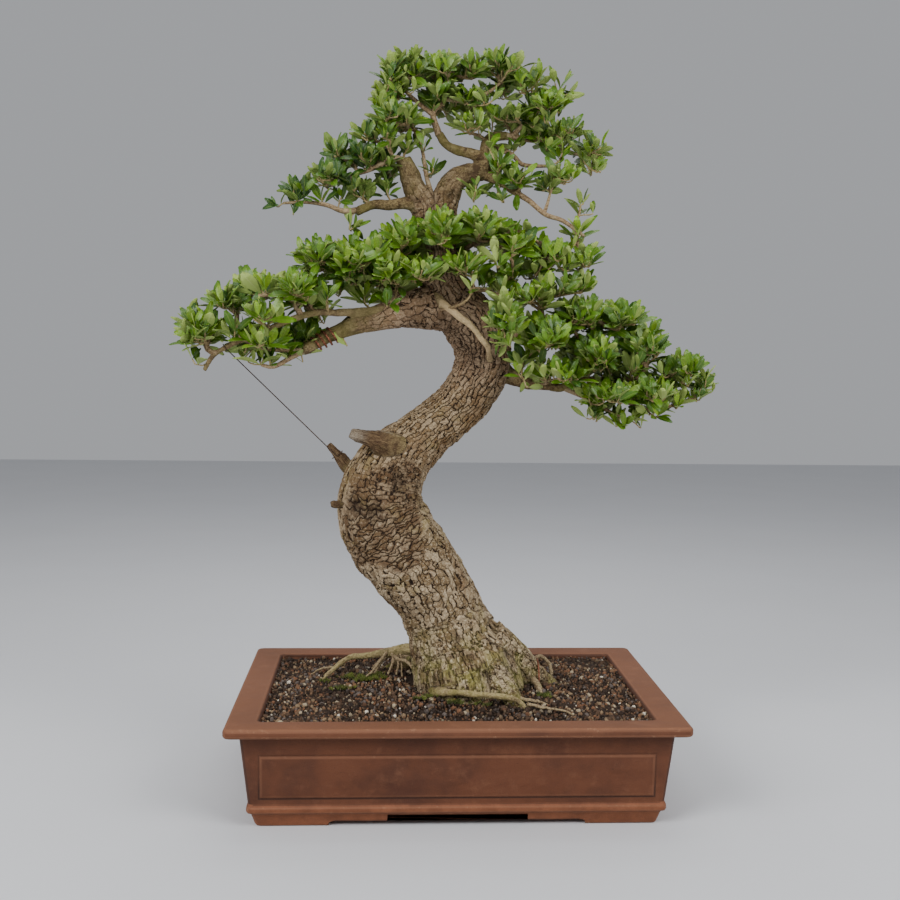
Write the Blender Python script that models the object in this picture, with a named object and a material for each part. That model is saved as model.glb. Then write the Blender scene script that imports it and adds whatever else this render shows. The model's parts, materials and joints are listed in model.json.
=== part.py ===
"""An old olive bonsai in a rectangular clay pot, grown and built in millimetres and stored in metres.

Every place is measured from the middle of the pot, at the floor it stands on: +X to the viewer's
right, +Y away from the viewer, +Z up. The empty that carries all pieces then moves the middle of
the whole tree's box to the origin.
"""

import math
import random

import bpy
from mathutils import Vector, noise
from mathutils.bvhtree import BVHTree

MM = 0.001
GAP = 0.3  # left between pieces that touch
LONG_SIDE, SHORT_SIDE, POT_TOP = 500.0, 370.0, 115.0
FOOT_HEIGHT, UNDERSIDE, FOOT_WALL, FOOT_STEP = 14.6, 14.0, 27.0, 5.0
GAPS_BETWEEN_FEET = {True: (74.0, 140.0), False: (44.0, 88.0)}  # along X or not: half, half with steps
FLOOR_TOP, LIP_HEIGHT, LIP_OVERHANG, LIP_BEVEL = 26.0, 10.5, 15.5, 1.0
BAND_HEIGHT, BAND_PROUD, INNER_FILLET = 11.4, 3.0, (7.0, 10.0)  # of the floor's edge: height and width
RIM_WIDTH, CORNER, CORNER_STEPS, WALL_SLOPE = 34.0, 6.0, 2, 8.5 / 78.0
PANEL_LOW, PANEL_HIGH, PANEL_MARGIN, PANEL_PROUD = 33.5, 81.4, 14.0, 1.8
DRAIN_X, DRAIN_RADIUS, DRAIN_SIDES = 105.0, 17.0, 16
SCREEN_SIDE, SCREEN_THICK, SCREEN_OPENING, SCREEN_PITCH = 58.0, 1.5, 14.0, 21.5
SOIL_EDGE, EDGE_DROP, MOUND_HEIGHT, MOUND_REACH, MOUND_AT = 109.0, 1.0, 13.0, 120.0, (22.0, -6.0)
SOIL_RINGS, UNEVEN, UNEVEN_SPAN = (0.9, 0.66, 0.4), 1.2, 34.0  # shares of the way from the middle out
BARK_RELIEF, FULL_RELIEF_RADIUS, RING_STEP = 4.2, 26.0, 19.0
RIDGE_SPAN, PLATE_SPAN = 75.0, 22.0  # length of the bark's ridges and plates along a stem
LEAF_LENGTH, LEAF_THICK, LEAF_ARCH, LEAF_TROUGH, HUB_RADIUS = 26.0, 0.8, 0.35, 0.2, 1.7
LEAF_SIZES, LEAF_SPREADS, LEAF_STRAY = (0.85, 1.1), (0.55, 0.95), 0.07  # shares of length, radians, of a turn
LEAF_OUTLINE = [(0.38, -0.13), (0.74, -0.16), (1.0, 0.0), (0.74, 0.16), (0.38, 0.13)]  # shares of the length
TWIG_RADIUS, SHOOT_RADIUS, SHOOT_LENGTHS, SHOOTS, ROSETTE = 2.4, 1.3, (26, 40), 2, 4
ANCHOR_X, ANCHOR_FOOT, ANCHOR_SLACK = 103.0, 92.0, 2.5
GUY_RADIUS, TRAINING_RADIUS, ANCHOR_RADIUS, WIRE_SLACK = 0.6, 1.25, 1.0, 0.4
LOOP_PITCH, WIRE_CORNERS = 2.6, 8
SEED = 11

# Each path is a row of (x, y, z, radius).
TRUNK = [
    (20, -18, 60, 66), (20, -18, 92, 66), (18, -16, 118, 65), (9, -6, 148, 58), (-6, 0, 189, 49.5),
    (-23, -4, 223, 47), (-48, -10, 260, 51), (-71, -14, 294, 53), (-86, -14, 325, 51.5), (-82, -8, 359, 46),
    (-60, 0, 392, 37.5), (-34, 6, 416, 31), (-9, 10, 437, 29.8), (16, 14, 462, 30), (31, 18, 491, 32),
    (33, 20, 520, 33.5), (19, 20, 548, 34), (-4, 18, 573, 31), (-18, 14, 602, 25.5), (-23, 10, 634, 22),
    (-23, 8, 668, 21),
]
LEFT_LIMB = [
    (4, 16, 561, 26), (-30, 8, 564, 25), (-60, -2, 560, 20), (-86, -10, 552, 15.5), (-112, -16, 545, 12),
    (-132, -20, 536, 9), (-157, -24, 523, 7), (-177, -28, 511, 5.6),
]
LEFT_WIRED_LIMB = [
    (-66, -6, 559, 10), (-96, -22, 559, 5), (-130, -34, 556, 4.4), (-171, -44, 553, 4), (-209, -44, 538, 3.6),
    (-249, -46, 521, 3.2), (-275, -46, 506, 2.9), (-287, -46, 488, 2.6),
]
UPPER_LIMBS = [
    [(-26, 8, 655, 18), (-38, 8, 684, 17), (-49, 4, 701, 13), (-57, 0, 721, 11), (-63, -2, 735, 9)],
    [(-28, 8, 676, 12), (-57, 2, 685, 7.5), (-78, -2, 682, 6.2), (-97, -7, 681, 5.6), (-117, -10, 673, 5)],
    [(-22, 8, 658, 19), (-13, 8, 690, 16.5), (-4, 8, 711, 14), (12, 8, 721, 12), (36, 8, 724, 9)],
    [(28, 8, 723, 8), (47, 4, 714, 6), (60, 0, 706, 5), (73, -6, 697, 4.4)],
    [
        (31, 8, 722, 8), (30, 6, 738, 7), (18, 3, 743, 6.4), (1, 0, 747, 5.8), (-13, -2, 753, 5.3),
        (-22, -4, 765, 5),
    ],
    [(31, 8, 724, 7), (33, 12, 750, 5.9), (38, 15, 764, 5.3), (59, 16, 767, 5)],
]
RIGHT_LOW_LIMB = [
    (30, 22, 505, 20), (48, 23, 496, 15), (66, 22, 485, 10.5), (86, 18, 476, 7.2), (108, 14, 474, 5.6),
    (128, 8, 472, 4.8), (156, 2, 482, 4), (198, 0, 480, 3.2),
]
PALE_LIMB = [
    (-26, -6, 578, 5), (-6, -24, 560, 4.3), (12, -31, 546, 3.8), (25, -34, 532, 3.6), (36, -32, 518, 3.4),
    (40, -12, 504, 3.2),
]
STUBS = [  # the short pointed one, the frayed one and a knob
    [(-54, -2, 390, 20), (-71, -26, 400, 17), (-86, -38, 407, 14), (-101, -46, 413, 9), (-120, -50, 418, 7)],
    [(-96, -2, 352, 16), (-116, 2, 367, 9.5), (-127, 5, 376, 7), (-136, 7, 387, 6), (-149, 8, 401, 4)],
    [(-118, -30, 338, 9), (-137, -34, 335, 5.5), (-144, -35, 335, 4.5)],
]
ROOTS = [
    [(40, -14, 168, 30), (76, -6, 142, 22), (96, -2, 126, 16), (122, 4, 108, 10), (140, 8, 90, 6)],
    [(30, 12, 160, 26), (66, 44, 136, 17), (92, 66, 118, 11), (112, 82, 96, 6)],
    [(0, 14, 160, 26), (-26, 46, 136, 16), (-46, 68, 124, 9), (-70, 84, 114, 6), (-92, 96, 96, 4)],
    [(30, -40, 146, 24), (54, -66, 128, 17), (70, -82, 112, 10), (82, -94, 92, 6)],
    [(-24, -62, 122, 7), (-2, -86, 128, 4.5), (20, -93, 128, 4.5), (46, -96, 126, 4), (68, -100, 123, 3.6),
     (86, -106, 104, 3)],
    [(-26, 20, 152, 10), (-62, 34, 148, 7), (-92, 50, 138, 5), (-121, 54, 134, 4.5), (-140, 48, 124, 4),
     (-160, 40, 104, 3)],
]
HOLLOWS = [(-117, -52, 334, 12, 7), (-94, -60, 328, 13, 8), (-63, -50, 363, 13, 7)]  # x, y, z, reach, depth
TRUNK_SIDES, LIMB_SIDES, STUB_SIDES, THIN_SIDES = 14, 8, 7, 5
THIN_STEP, LIMB_STEP, THICK_ROOT = 14.0, 18.0, 12  # between rings, and the radius that makes a root thick
GUY_FROM, GUY_TO = (-262, 1.0), (-137, 0.8)  # x on the limb and on the stub, and each loop's turns
COIL_FROM, COIL_TO, COIL_TURNS = -140.0, -165.0, 4
SPRAYS = {
    "crown_left": [(-22, -4, 763), (-38, -14, 786), (-58, -20, 804), (-80, -22, 822)],
    "crown_top": [(-13, -2, 753), (-10, 6, 786), (-6, 8, 812), (2, 6, 834)],
    "crown_back": [(1, 0, 746), (8, 32, 773), (20, 56, 796), (30, 70, 818)],
    "crown_front": [(18, 3, 743), (20, -30, 772), (34, -50, 796), (46, -58, 820)],
    "crown_right": [(56, 16, 766), (68, 24, 788), (86, 26, 804), (112, 24, 814)],
    "upper_right": [(57, 16, 767), (92, 14, 764), (124, 8, 755), (162, 4, 746)],
    "upper_right_top": [(46, 15, 766), (62, -12, 782), (84, -28, 790), (112, -34, 786)],
    "upper_right_front": [(36, 8, 724), (62, -30, 738), (92, -52, 744), (126, -62, 738)],
    "upper_right_back": [(34, 10, 726), (58, 42, 736), (92, 62, 742), (126, 72, 736)],
    "right_reach": [(71, -5, 698), (103, -12, 673), (123, -14, 666), (148, -18, 648)],
    "upper_left": [(-61, -1, 728), (-70, -6, 750), (-106, -18, 742), (-148, -22, 728)],
    "upper_left_back": [(-57, 0, 722), (-80, 32, 740), (-104, 50, 752), (-130, 58, 748)],
    "upper_left_front": [(-92, -6, 681), (-112, -44, 700), (-136, -64, 712), (-164, -70, 712)],
    "left_long": [(-116, -10, 673), (-144, -14, 678), (-178, -17, 680), (-208, -20, 684)],
    "middle_left": [(-23, 10, 640), (-62, -26, 636), (-96, -48, 632), (-128, -58, 628)],
    "middle_front": [(-20, 12, 622), (4, -36, 628), (22, -74, 634), (32, -104, 628)],
    "middle_right": [(-18, 14, 606), (34, -6, 622), (88, -16, 628), (138, -20, 614)],
    "middle_back": [(-20, 12, 622), (-8, 60, 626), (8, 96, 632), (26, 124, 624)],
    "left_low_top": [(-62, -2, 562), (-84, 20, 596), (-112, 34, 612), (-150, 40, 612)],
    "left_low_front": [(-104, -14, 547), (-128, -62, 560), (-162, -92, 574), (-204, -104, 580)],
    "left_low_back": [(-108, -15, 546), (-130, 36, 570), (-166, 72, 584), (-206, 92, 582)],
    "left_low_upper": [(-190, -44, 546), (-214, -50, 572), (-250, -56, 578), (-288, -58, 570)],
    "left_low_tip": [(-240, -45, 525), (-262, -34, 542), (-286, -30, 550), (-310, -30, 546)],
    "left_low_under": [(-176, -28, 512), (-196, -8, 502), (-222, 4, 506), (-252, 10, 516)],
    "right_low_top": [(44, 22, 520), (84, 12, 546), (122, 6, 568), (162, 4, 568)],
    "right_low_front": [(84, 18, 476), (108, -36, 500), (146, -68, 518), (190, -84, 508)],
    "right_low_back": [(84, 18, 476), (112, 64, 504), (150, 92, 520), (194, 104, 508)],
    "right_low_outer": [(178, 1, 482), (196, 10, 510), (216, 12, 528), (240, 8, 534)],
    "right_low_tip": [(192, 0, 481), (226, -6, 476), (262, -8, 466), (300, -6, 462)],
    "right_low_under": [(66, 22, 485), (98, -12, 462), (134, -30, 446), (176, -36, 440)],
}


def finish_of(name, colour, roughness, metallic=0.0):
    finish = bpy.data.materials.new(name)
    finish.use_nodes = True
    shader = finish.node_tree.nodes["Principled BSDF"]
    shader.inputs["Base Color"].default_value = (*colour, 1.0)
    shader.inputs["Roughness"].default_value = roughness
    shader.inputs["Metallic"].default_value = metallic
    finish.diffuse_color = (*colour, 1.0)
    return finish


def solid(name, points, faces, finish, sharp=40.0):
    """An object from points in millimetres."""
    mesh = bpy.data.meshes.new(name)
    mesh.from_pydata([Vector(p) * MM for p in points], [], faces)
    mesh.materials.append(finish)
    mesh.shade_smooth()
    mesh.set_sharp_from_angle(angle=math.radians(sharp))
    piece = bpy.data.objects.new(name, mesh)
    bpy.context.scene.collection.objects.link(piece)
    return piece


def loft(rings):
    """A closed skin over rings of equal length, each counter-clockwise seen against the way they go."""
    count = len(rings[0])
    faces = []
    for ring in range(len(rings) - 1):
        low, high = ring * count, (ring + 1) * count
        for i in range(count):
            j = (i + 1) % count
            faces += [(low + i, low + j, high + j), (low + i, high + j, high + i)]
    faces.append(tuple(reversed(range(count))))
    faces.append(tuple(range((len(rings) - 1) * count, len(rings) * count)))
    return [point for ring in rings for point in ring], faces


def box(name, low, high, finish):
    ring = [(low[0], low[1]), (high[0], low[1]), (high[0], high[1]), (low[0], high[1])]
    return solid(name, *loft([[(x, y, z) for x, y in ring] for z in (low[2], high[2])]), finish)


def merged(base, others, operation="UNION", solver="EXACT"):
    """The base with the others joined to it or cut from it, and its largest body kept. The others go."""
    group = bpy.data.collections.new("others")
    for other in others:
        group.objects.link(other)
    modifier = base.modifiers.new("merge", "BOOLEAN")
    modifier.operation, modifier.solver = operation, solver
    modifier.operand_type, modifier.collection = "COLLECTION", group
    graph = bpy.context.evaluated_depsgraph_get()
    mesh = bpy.data.meshes.new_from_object(base.evaluated_get(graph))
    base.modifiers.remove(modifier)
    base.data = mesh
    for other in others:
        bpy.data.objects.remove(other)
    bpy.data.collections.remove(group)
    keep_largest_body(mesh)
    return base


def keep_largest_body(mesh):
    """Drops loose scraps and sealed pockets: everything that isn't joined to the body with most points."""
    parent = list(range(len(mesh.vertices)))

    def root(i):
        while parent[i] != i:
            parent[i] = parent[parent[i]]
            i = parent[i]
        return i

    for edge in mesh.edges:
        a, b = root(edge.vertices[0]), root(edge.vertices[1])
        parent[a] = b
    sizes = {}
    for i in range(len(parent)):
        sizes[root(i)] = sizes.get(root(i), 0) + 1
    largest = max(sizes, key=sizes.get)
    if len(sizes) == 1:
        return
    points = [v.co.copy() for v in mesh.vertices]
    faces = [tuple(f.vertices) for f in mesh.polygons if root(f.vertices[0]) == largest]
    used = sorted({i for face in faces for i in face})
    place = {old: new for new, old in enumerate(used)}
    mesh.clear_geometry()
    mesh.from_pydata([points[i] for i in used], [], [tuple(place[i] for i in face) for face in faces])
    mesh.shade_smooth()
    mesh.set_sharp_from_angle(angle=math.radians(40.0))


def smooth_path(path, step):
    """Points about a step apart on a Catmull-Rom curve through the path, with all their values."""
    rows = [Vector(p) for p in path]
    rows = [rows[0] * 2 - rows[1], *rows, rows[-1] * 2 - rows[-2]]
    found = [rows[1].copy()]
    for a, b, c, d in zip(rows, rows[1:], rows[2:], rows[3:]):
        length = (Vector(c[:3]) - Vector(b[:3])).length
        parts = max(1, round(length / step))
        for k in range(1, parts + 1):
            t = k / parts
            square, cube = 2 * a - 5 * b + 4 * c - d, 3 * b - a - 3 * c + d
            found.append((2 * b + (c - a) * t + square * t ** 2 + cube * t ** 3) / 2)
    return found


def frames_along(points):
    """A side and an upper direction at each point, turned as little as possible from one to the next."""
    places = [Vector(p[:3]) for p in points]
    found = []
    for i, place in enumerate(places):
        ahead = (places[min(i + 1, len(places) - 1)] - places[max(i - 1, 0)]).normalized()
        if found:
            side = found[-1][0] - ahead * found[-1][0].dot(ahead)
        else:
            side = Vector((0, 1, 0)) if abs(ahead.y) < 0.9 else Vector((1, 0, 0))
            side = side - ahead * side.dot(ahead)
        side.normalize()
        found.append((side, ahead.cross(side), ahead))
    return found


def bark(point, angle, along, radius):
    """How far the bark stands out: long ridges round the stem, broken into plates, and the hollows."""
    share = min(1.0, radius / FULL_RELIEF_RADIUS)
    ridges = Vector((math.cos(angle) * 1.9, math.sin(angle) * 1.9, along / RIDGE_SPAN))
    plates = Vector((math.cos(angle) * 3.1, math.sin(angle) * 3.1, along / PLATE_SPAN)) + Vector((7, 3, 1))
    height = BARK_RELIEF * share * (0.75 * noise.noise(ridges) + 0.6 * noise.noise(plates))
    for x, y, z, reach, depth in HOLLOWS:
        away = (point - Vector((x, y, z))).length
        height -= depth * math.exp(-(away / reach) ** 2)
    return height


def tube(name, path, finish, sides, step, extra=0.0, longer=0.0):
    """A stem along a path of (x, y, z, radius), fatter all round by extra and longer past both ends."""
    points = smooth_path(path, step)
    frames = frames_along(points)
    rings = []
    along = 0.0
    for i, (point, (side, upper, ahead)) in enumerate(zip(points, frames)):
        centre = Vector(point[:3])
        if i:
            along += (centre - Vector(points[i - 1][:3])).length
        if longer and i in (0, len(points) - 1):
            centre = centre + ahead * (longer if i else -longer)
        ring = []
        for k in range(sides):
            angle = 2 * math.pi * k / sides
            way = side * math.cos(angle) + upper * math.sin(angle)
            radius = point[3] + extra + bark(centre + way * point[3], angle, along, point[3])
            ring.append(centre + way * radius)
        rings.append(ring)
    return solid(name, *loft(rings), finish, 60.0)


def pot_ring(inset, z):
    """A rectangle with round corners, counter-clockwise seen from above, an inset in from the lip's edge."""
    ring = []
    for corner in range(4):
        middle_x = (LONG_SIDE / 2 - inset - CORNER) * (1 if corner in (0, 3) else -1)
        middle_y = (SHORT_SIDE / 2 - inset - CORNER) * (1 if corner in (0, 1) else -1)
        for k in range(CORNER_STEPS + 1):
            angle = math.pi / 2 * (corner + k / CORNER_STEPS)
            ring.append((middle_x + CORNER * math.cos(angle), middle_y + CORNER * math.sin(angle), z))
    return ring


def wall_inset(z):
    """How far the outer wall stands in from the lip's edge at a height."""
    return LIP_OVERHANG + (POT_TOP - LIP_HEIGHT - LIP_BEVEL - z) * WALL_SLOPE


def pot_profile():
    """(inset from the lip's edge, height) from the underside up the wall, over the rim and down inside."""
    foot, band_top = wall_inset(FOOT_HEIGHT), FOOT_HEIGHT + BAND_HEIGHT
    lip, inner = POT_TOP - LIP_HEIGHT, RIM_WIDTH + 1.5
    rise, width = INNER_FILLET
    return [
        (foot + BAND_PROUD, FOOT_HEIGHT), (foot - BAND_PROUD, FOOT_HEIGHT + 2.0),
        (foot - BAND_PROUD, band_top - 3.4), (foot - BAND_PROUD / 2, band_top - 1.1),
        (wall_inset(band_top), band_top), (wall_inset(lip - LIP_BEVEL), lip - LIP_BEVEL),
        (1.5, lip), (0.0, lip + 2.0), (0.0, POT_TOP - 2.5), (2.0, POT_TOP),
        (RIM_WIDTH - 1.5, POT_TOP - 0.6), (inner, POT_TOP - 3.0), (inner + 3.0, FLOOR_TOP + rise),
        (inner + width, FLOOR_TOP),
    ]


def wall_panel(finish, across, along_x):
    """A raised panel on one wall, with a bevelled edge, before it is turned to its wall."""
    half = (LONG_SIDE if along_x else SHORT_SIDE) / 2 - wall_inset(PANEL_LOW) - PANEL_MARGIN
    depth = (SHORT_SIDE if along_x else LONG_SIDE) / 2
    rings = []
    for proud, margin in ((-4.0, 0.0), (0.6, 0.0), (PANEL_PROUD, 1.8)):
        ring = []
        for x, z in ((-half, PANEL_LOW), (half, PANEL_LOW), (half, PANEL_HIGH), (-half, PANEL_HIGH)):
            x -= math.copysign(margin, x)
            z += margin if z == PANEL_LOW else -margin
            y = across * (depth - wall_inset(z) + proud)
            ring.append((x, y, z) if along_x else (y, x, z))
        rings.append(ring if (across < 0) == along_x else ring[::-1])
    return solid("panel", *loft(rings), finish)


def cloud_cut(finish, half_gap, half_step, along_x):
    """What is cut from under the pot between two feet: a gap, and a low step with a round end each side."""
    step, round_end = FOOT_STEP, FOOT_STEP - 1.0
    half = []
    for k in range(4):
        turn = math.pi / 6 * k
        half.append((half_step - round_end * (1 - math.cos(turn)), step - round_end * (1 - math.sin(turn))))
    for k in range(4):
        turn = math.pi / 6 * k
        half.append((half_gap + round_end * (1 - math.sin(turn)), step + round_end * (1 - math.cos(turn))))
    outline = [(half_step, -2.0), *half, (half_gap, UNDERSIDE)]
    outline += [(-x, z) for x, z in reversed(outline)]
    reach = LONG_SIDE / 2
    rings = []
    for y in (reach, -reach):
        rings.append([(x, y, z) if along_x else (-y, x, z) for x, z in outline])
    return solid("cut", *loft(rings), finish)


def drain_hole(x, finish):
    turns = [2 * math.pi * k / DRAIN_SIDES for k in range(DRAIN_SIDES)]
    rings = []
    for z in (-2.0, FLOOR_TOP + 5.0):
        rings.append([(x + DRAIN_RADIUS * math.cos(t), DRAIN_RADIUS * math.sin(t), z) for t in turns])
    return solid("drain", *loft(rings), finish)


def make_pot(clay):
    pot = solid("pot", *loft([pot_ring(inset, z) for inset, z in pot_profile()]), clay)
    foot = wall_inset(FOOT_HEIGHT)
    block = [pot_ring(foot + 6.0, 0.0), pot_ring(foot + 1.0, FOOT_HEIGHT + 1.5)]
    added = [solid("foot_block", *loft(block), clay)]
    for across in (-1, 1):
        for along_x in (True, False):
            added.append(wall_panel(clay, across, along_x))
    merged(pot, added)
    hollow = [pot_ring(foot + FOOT_WALL, -2.0), pot_ring(foot + FOOT_WALL, UNDERSIDE)]
    cuts = [solid("hollow", *loft(hollow), clay)]
    for along_x, (half_gap, half_step) in GAPS_BETWEEN_FEET.items():
        cuts.append(cloud_cut(clay, half_gap, half_step, along_x))
    for x in (-DRAIN_X, DRAIN_X):
        cuts.append(drain_hole(x, clay))
    merged(pot, cuts, "DIFFERENCE")
    pot.data.set_sharp_from_angle(angle=math.radians(30.0))


def make_screen(name, x, plastic):
    """A square of plastic mesh over a drain hole."""
    low, half = FLOOR_TOP + GAP, SCREEN_SIDE / 2
    screen = box(name, (x - half, -half, low), (x + half, half, low + SCREEN_THICK), plastic)
    reach = SCREEN_OPENING / 2
    cuts = []
    for i in (-0.5, 0.5):
        for j in (-0.5, 0.5):
            middle = (x + i * SCREEN_PITCH, j * SCREEN_PITCH)
            cuts.append(box("cut", (middle[0] - reach, middle[1] - reach, low - 2),
                            (middle[0] + reach, middle[1] + reach, low + SCREEN_THICK + 2), plastic))
    merged(screen, cuts, "DIFFERENCE")


def soil_height(x, y):
    mound = math.exp(-((x - MOUND_AT[0]) ** 2 + (y - MOUND_AT[1]) ** 2) / MOUND_REACH ** 2)
    uneven = UNEVEN * noise.noise(Vector((x / UNEVEN_SPAN, y / UNEVEN_SPAN, 0)))
    return SOIL_EDGE + MOUND_HEIGHT * mound + uneven


def make_soil(grit, cutters):
    """The bed fills the pot to its inner walls. Its top rises in rings from the rim to the tree."""
    (wall_in, wall_top), (foot_in, foot_top), (floor_in, floor) = pot_profile()[-3:]
    clear = GAP * 2
    rings = [pot_ring(floor_in + clear, floor + GAP), pot_ring(foot_in + clear, foot_top)]
    edge = wall_in + clear + (foot_in - wall_in) * (wall_top - SOIL_EDGE) / (wall_top - foot_top)
    rings.append([(x, y, soil_height(x, y) - EDGE_DROP) for x, y, _ in pot_ring(edge, 0.0)])
    for share in SOIL_RINGS:
        rings.append([(x * share, y * share, soil_height(x * share, y * share))
                      for x, y, _ in pot_ring(edge, 0.0)])
    soil = solid("soil", *loft(rings), grit)
    half = SCREEN_SIDE / 2 + GAP
    for x in (-DRAIN_X, DRAIN_X):
        top = FLOOR_TOP + 2 * GAP + SCREEN_THICK
        cutters.append(box("recess", (x - half, -half, FLOOR_TOP - 5), (x + half, half, top), grit))
    merged(soil, cutters, "DIFFERENCE")


def wood_tubes(finish, extra=0.0, longer=0.0, buried_only=False):
    """The trunk and its roots, and above them the limbs and stubs, each sunk well into what it grows from."""
    pieces = [tube("trunk", TRUNK, finish, TRUNK_SIDES, RING_STEP, extra, longer)]
    for path in ROOTS:
        sides = STUB_SIDES if path[0][3] > THICK_ROOT else THIN_SIDES
        pieces.append(tube("root", path, finish, sides, RING_STEP, extra, longer))
    if buried_only:
        return pieces
    pieces.append(tube("left_limb", LEFT_LIMB, finish, LIMB_SIDES, LIMB_STEP))
    for path in [LEFT_WIRED_LIMB, RIGHT_LOW_LIMB, *UPPER_LIMBS]:
        pieces.append(tube("limb", path, finish, THIN_SIDES + 1, LIMB_STEP))
    pieces.append(tube("pale_limb", PALE_LIMB, finish, THIN_SIDES, THIN_STEP))
    for path in STUBS:
        pieces.append(tube("stub", path, finish, STUB_SIDES, THIN_STEP))
    return pieces


def make_trunk(wood):
    first, *others = wood_tubes(wood)
    return merged(first, others)


def point_at_x(path, x):
    """The point of a smooth path nearest to an x, and the way the path goes there."""
    points = smooth_path(path, 2.0)
    frames = frames_along(points)
    nearest = min(range(len(points)), key=lambda i: abs(points[i][0] - x))
    return points[nearest], frames[nearest][2]


def loop_round(centre, ahead, radius, turns, start):
    """Points of a wire wound round a branch, from the side that start points to."""
    side = (start - ahead * start.dot(ahead)).normalized()
    upper = ahead.cross(side)
    fat = radius / math.cos(math.pi / WIRE_CORNERS)
    found = []
    for k in range(round(turns * WIRE_CORNERS) + 1):
        turn = 2 * math.pi * k / WIRE_CORNERS
        ring = side * math.cos(turn) + upper * math.sin(turn)
        found.append(Vector(centre[:3]) + ring * fat + ahead * (LOOP_PITCH * k / WIRE_CORNERS))
    return found


def wire(name, points, radius, metal, sides):
    """A bent wire, as a tube through its points without further smoothing."""
    rings = []
    for point, (side, upper, _) in zip(points, frames_along(points)):
        turns = [2 * math.pi * k / sides for k in range(sides)]
        rings.append([point + (side * math.cos(t) + upper * math.sin(t)) * radius for t in turns])
    return solid(name, *loft(rings), metal, 60.0)


def make_guy_wire(iron):
    high, high_ahead = point_at_x(LEFT_WIRED_LIMB, GUY_FROM[0])
    low, low_ahead = point_at_x(STUBS[1], GUY_TO[0])
    way = Vector((low - high)[:3]).normalized()
    clear = GUY_RADIUS + GAP + WIRE_SLACK
    first = loop_round(high, high_ahead, high[3] + clear, GUY_FROM[1], way)
    last = loop_round(low, low_ahead, low[3] + clear, GUY_TO[1], -way)
    return wire("guy_wire", [*reversed(first), *last], GUY_RADIUS, iron, 5)


def make_training_wire(copper):
    """Copper wound round the low left limb, a little more than touching it."""
    points = smooth_path(LEFT_LIMB, 2.0)
    frames = frames_along(points)
    chosen = [i for i, p in enumerate(points) if COIL_TO <= p[0] <= COIL_FROM]
    count = COIL_TURNS * WIRE_CORNERS
    found = []
    for k in range(count + 1):
        share = chosen[0] + (chosen[-1] - chosen[0]) * k / count
        low = min(int(share), len(points) - 2)
        point = points[low].lerp(points[low + 1], share - low)
        side, upper, _ = frames[low]
        turn = 2 * math.pi * k / WIRE_CORNERS
        radius = (point[3] + TRAINING_RADIUS + GAP + WIRE_SLACK) / math.cos(math.pi / WIRE_CORNERS)
        found.append(Vector(point[:3]) + (side * math.cos(turn) + upper * math.sin(turn)) * radius)
    return wire("training_wire", found, TRAINING_RADIUS, copper, 4)


def anchor_points(longer=0.0):
    """A hoop over the right-hand root, with both legs standing in the soil."""
    root, ahead = point_at_x(ROOTS[0], ANCHOR_X)
    radius = (root[3] + BARK_RELIEF) / math.hypot(ahead.x, ahead.y) + ANCHOR_RADIUS + ANCHOR_SLACK
    across = Vector((0, 1, 0))
    low = Vector((root[0], root[1], ANCHOR_FOOT - longer))
    found = [low - across * radius]
    for k in range(WIRE_CORNERS + 1):
        turn = math.pi * k / WIRE_CORNERS
        found.append(Vector(root[:3]) + (Vector((0, 0, math.sin(turn))) - across * math.cos(turn)) * radius)
    return [*found, low + across * radius]


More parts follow.
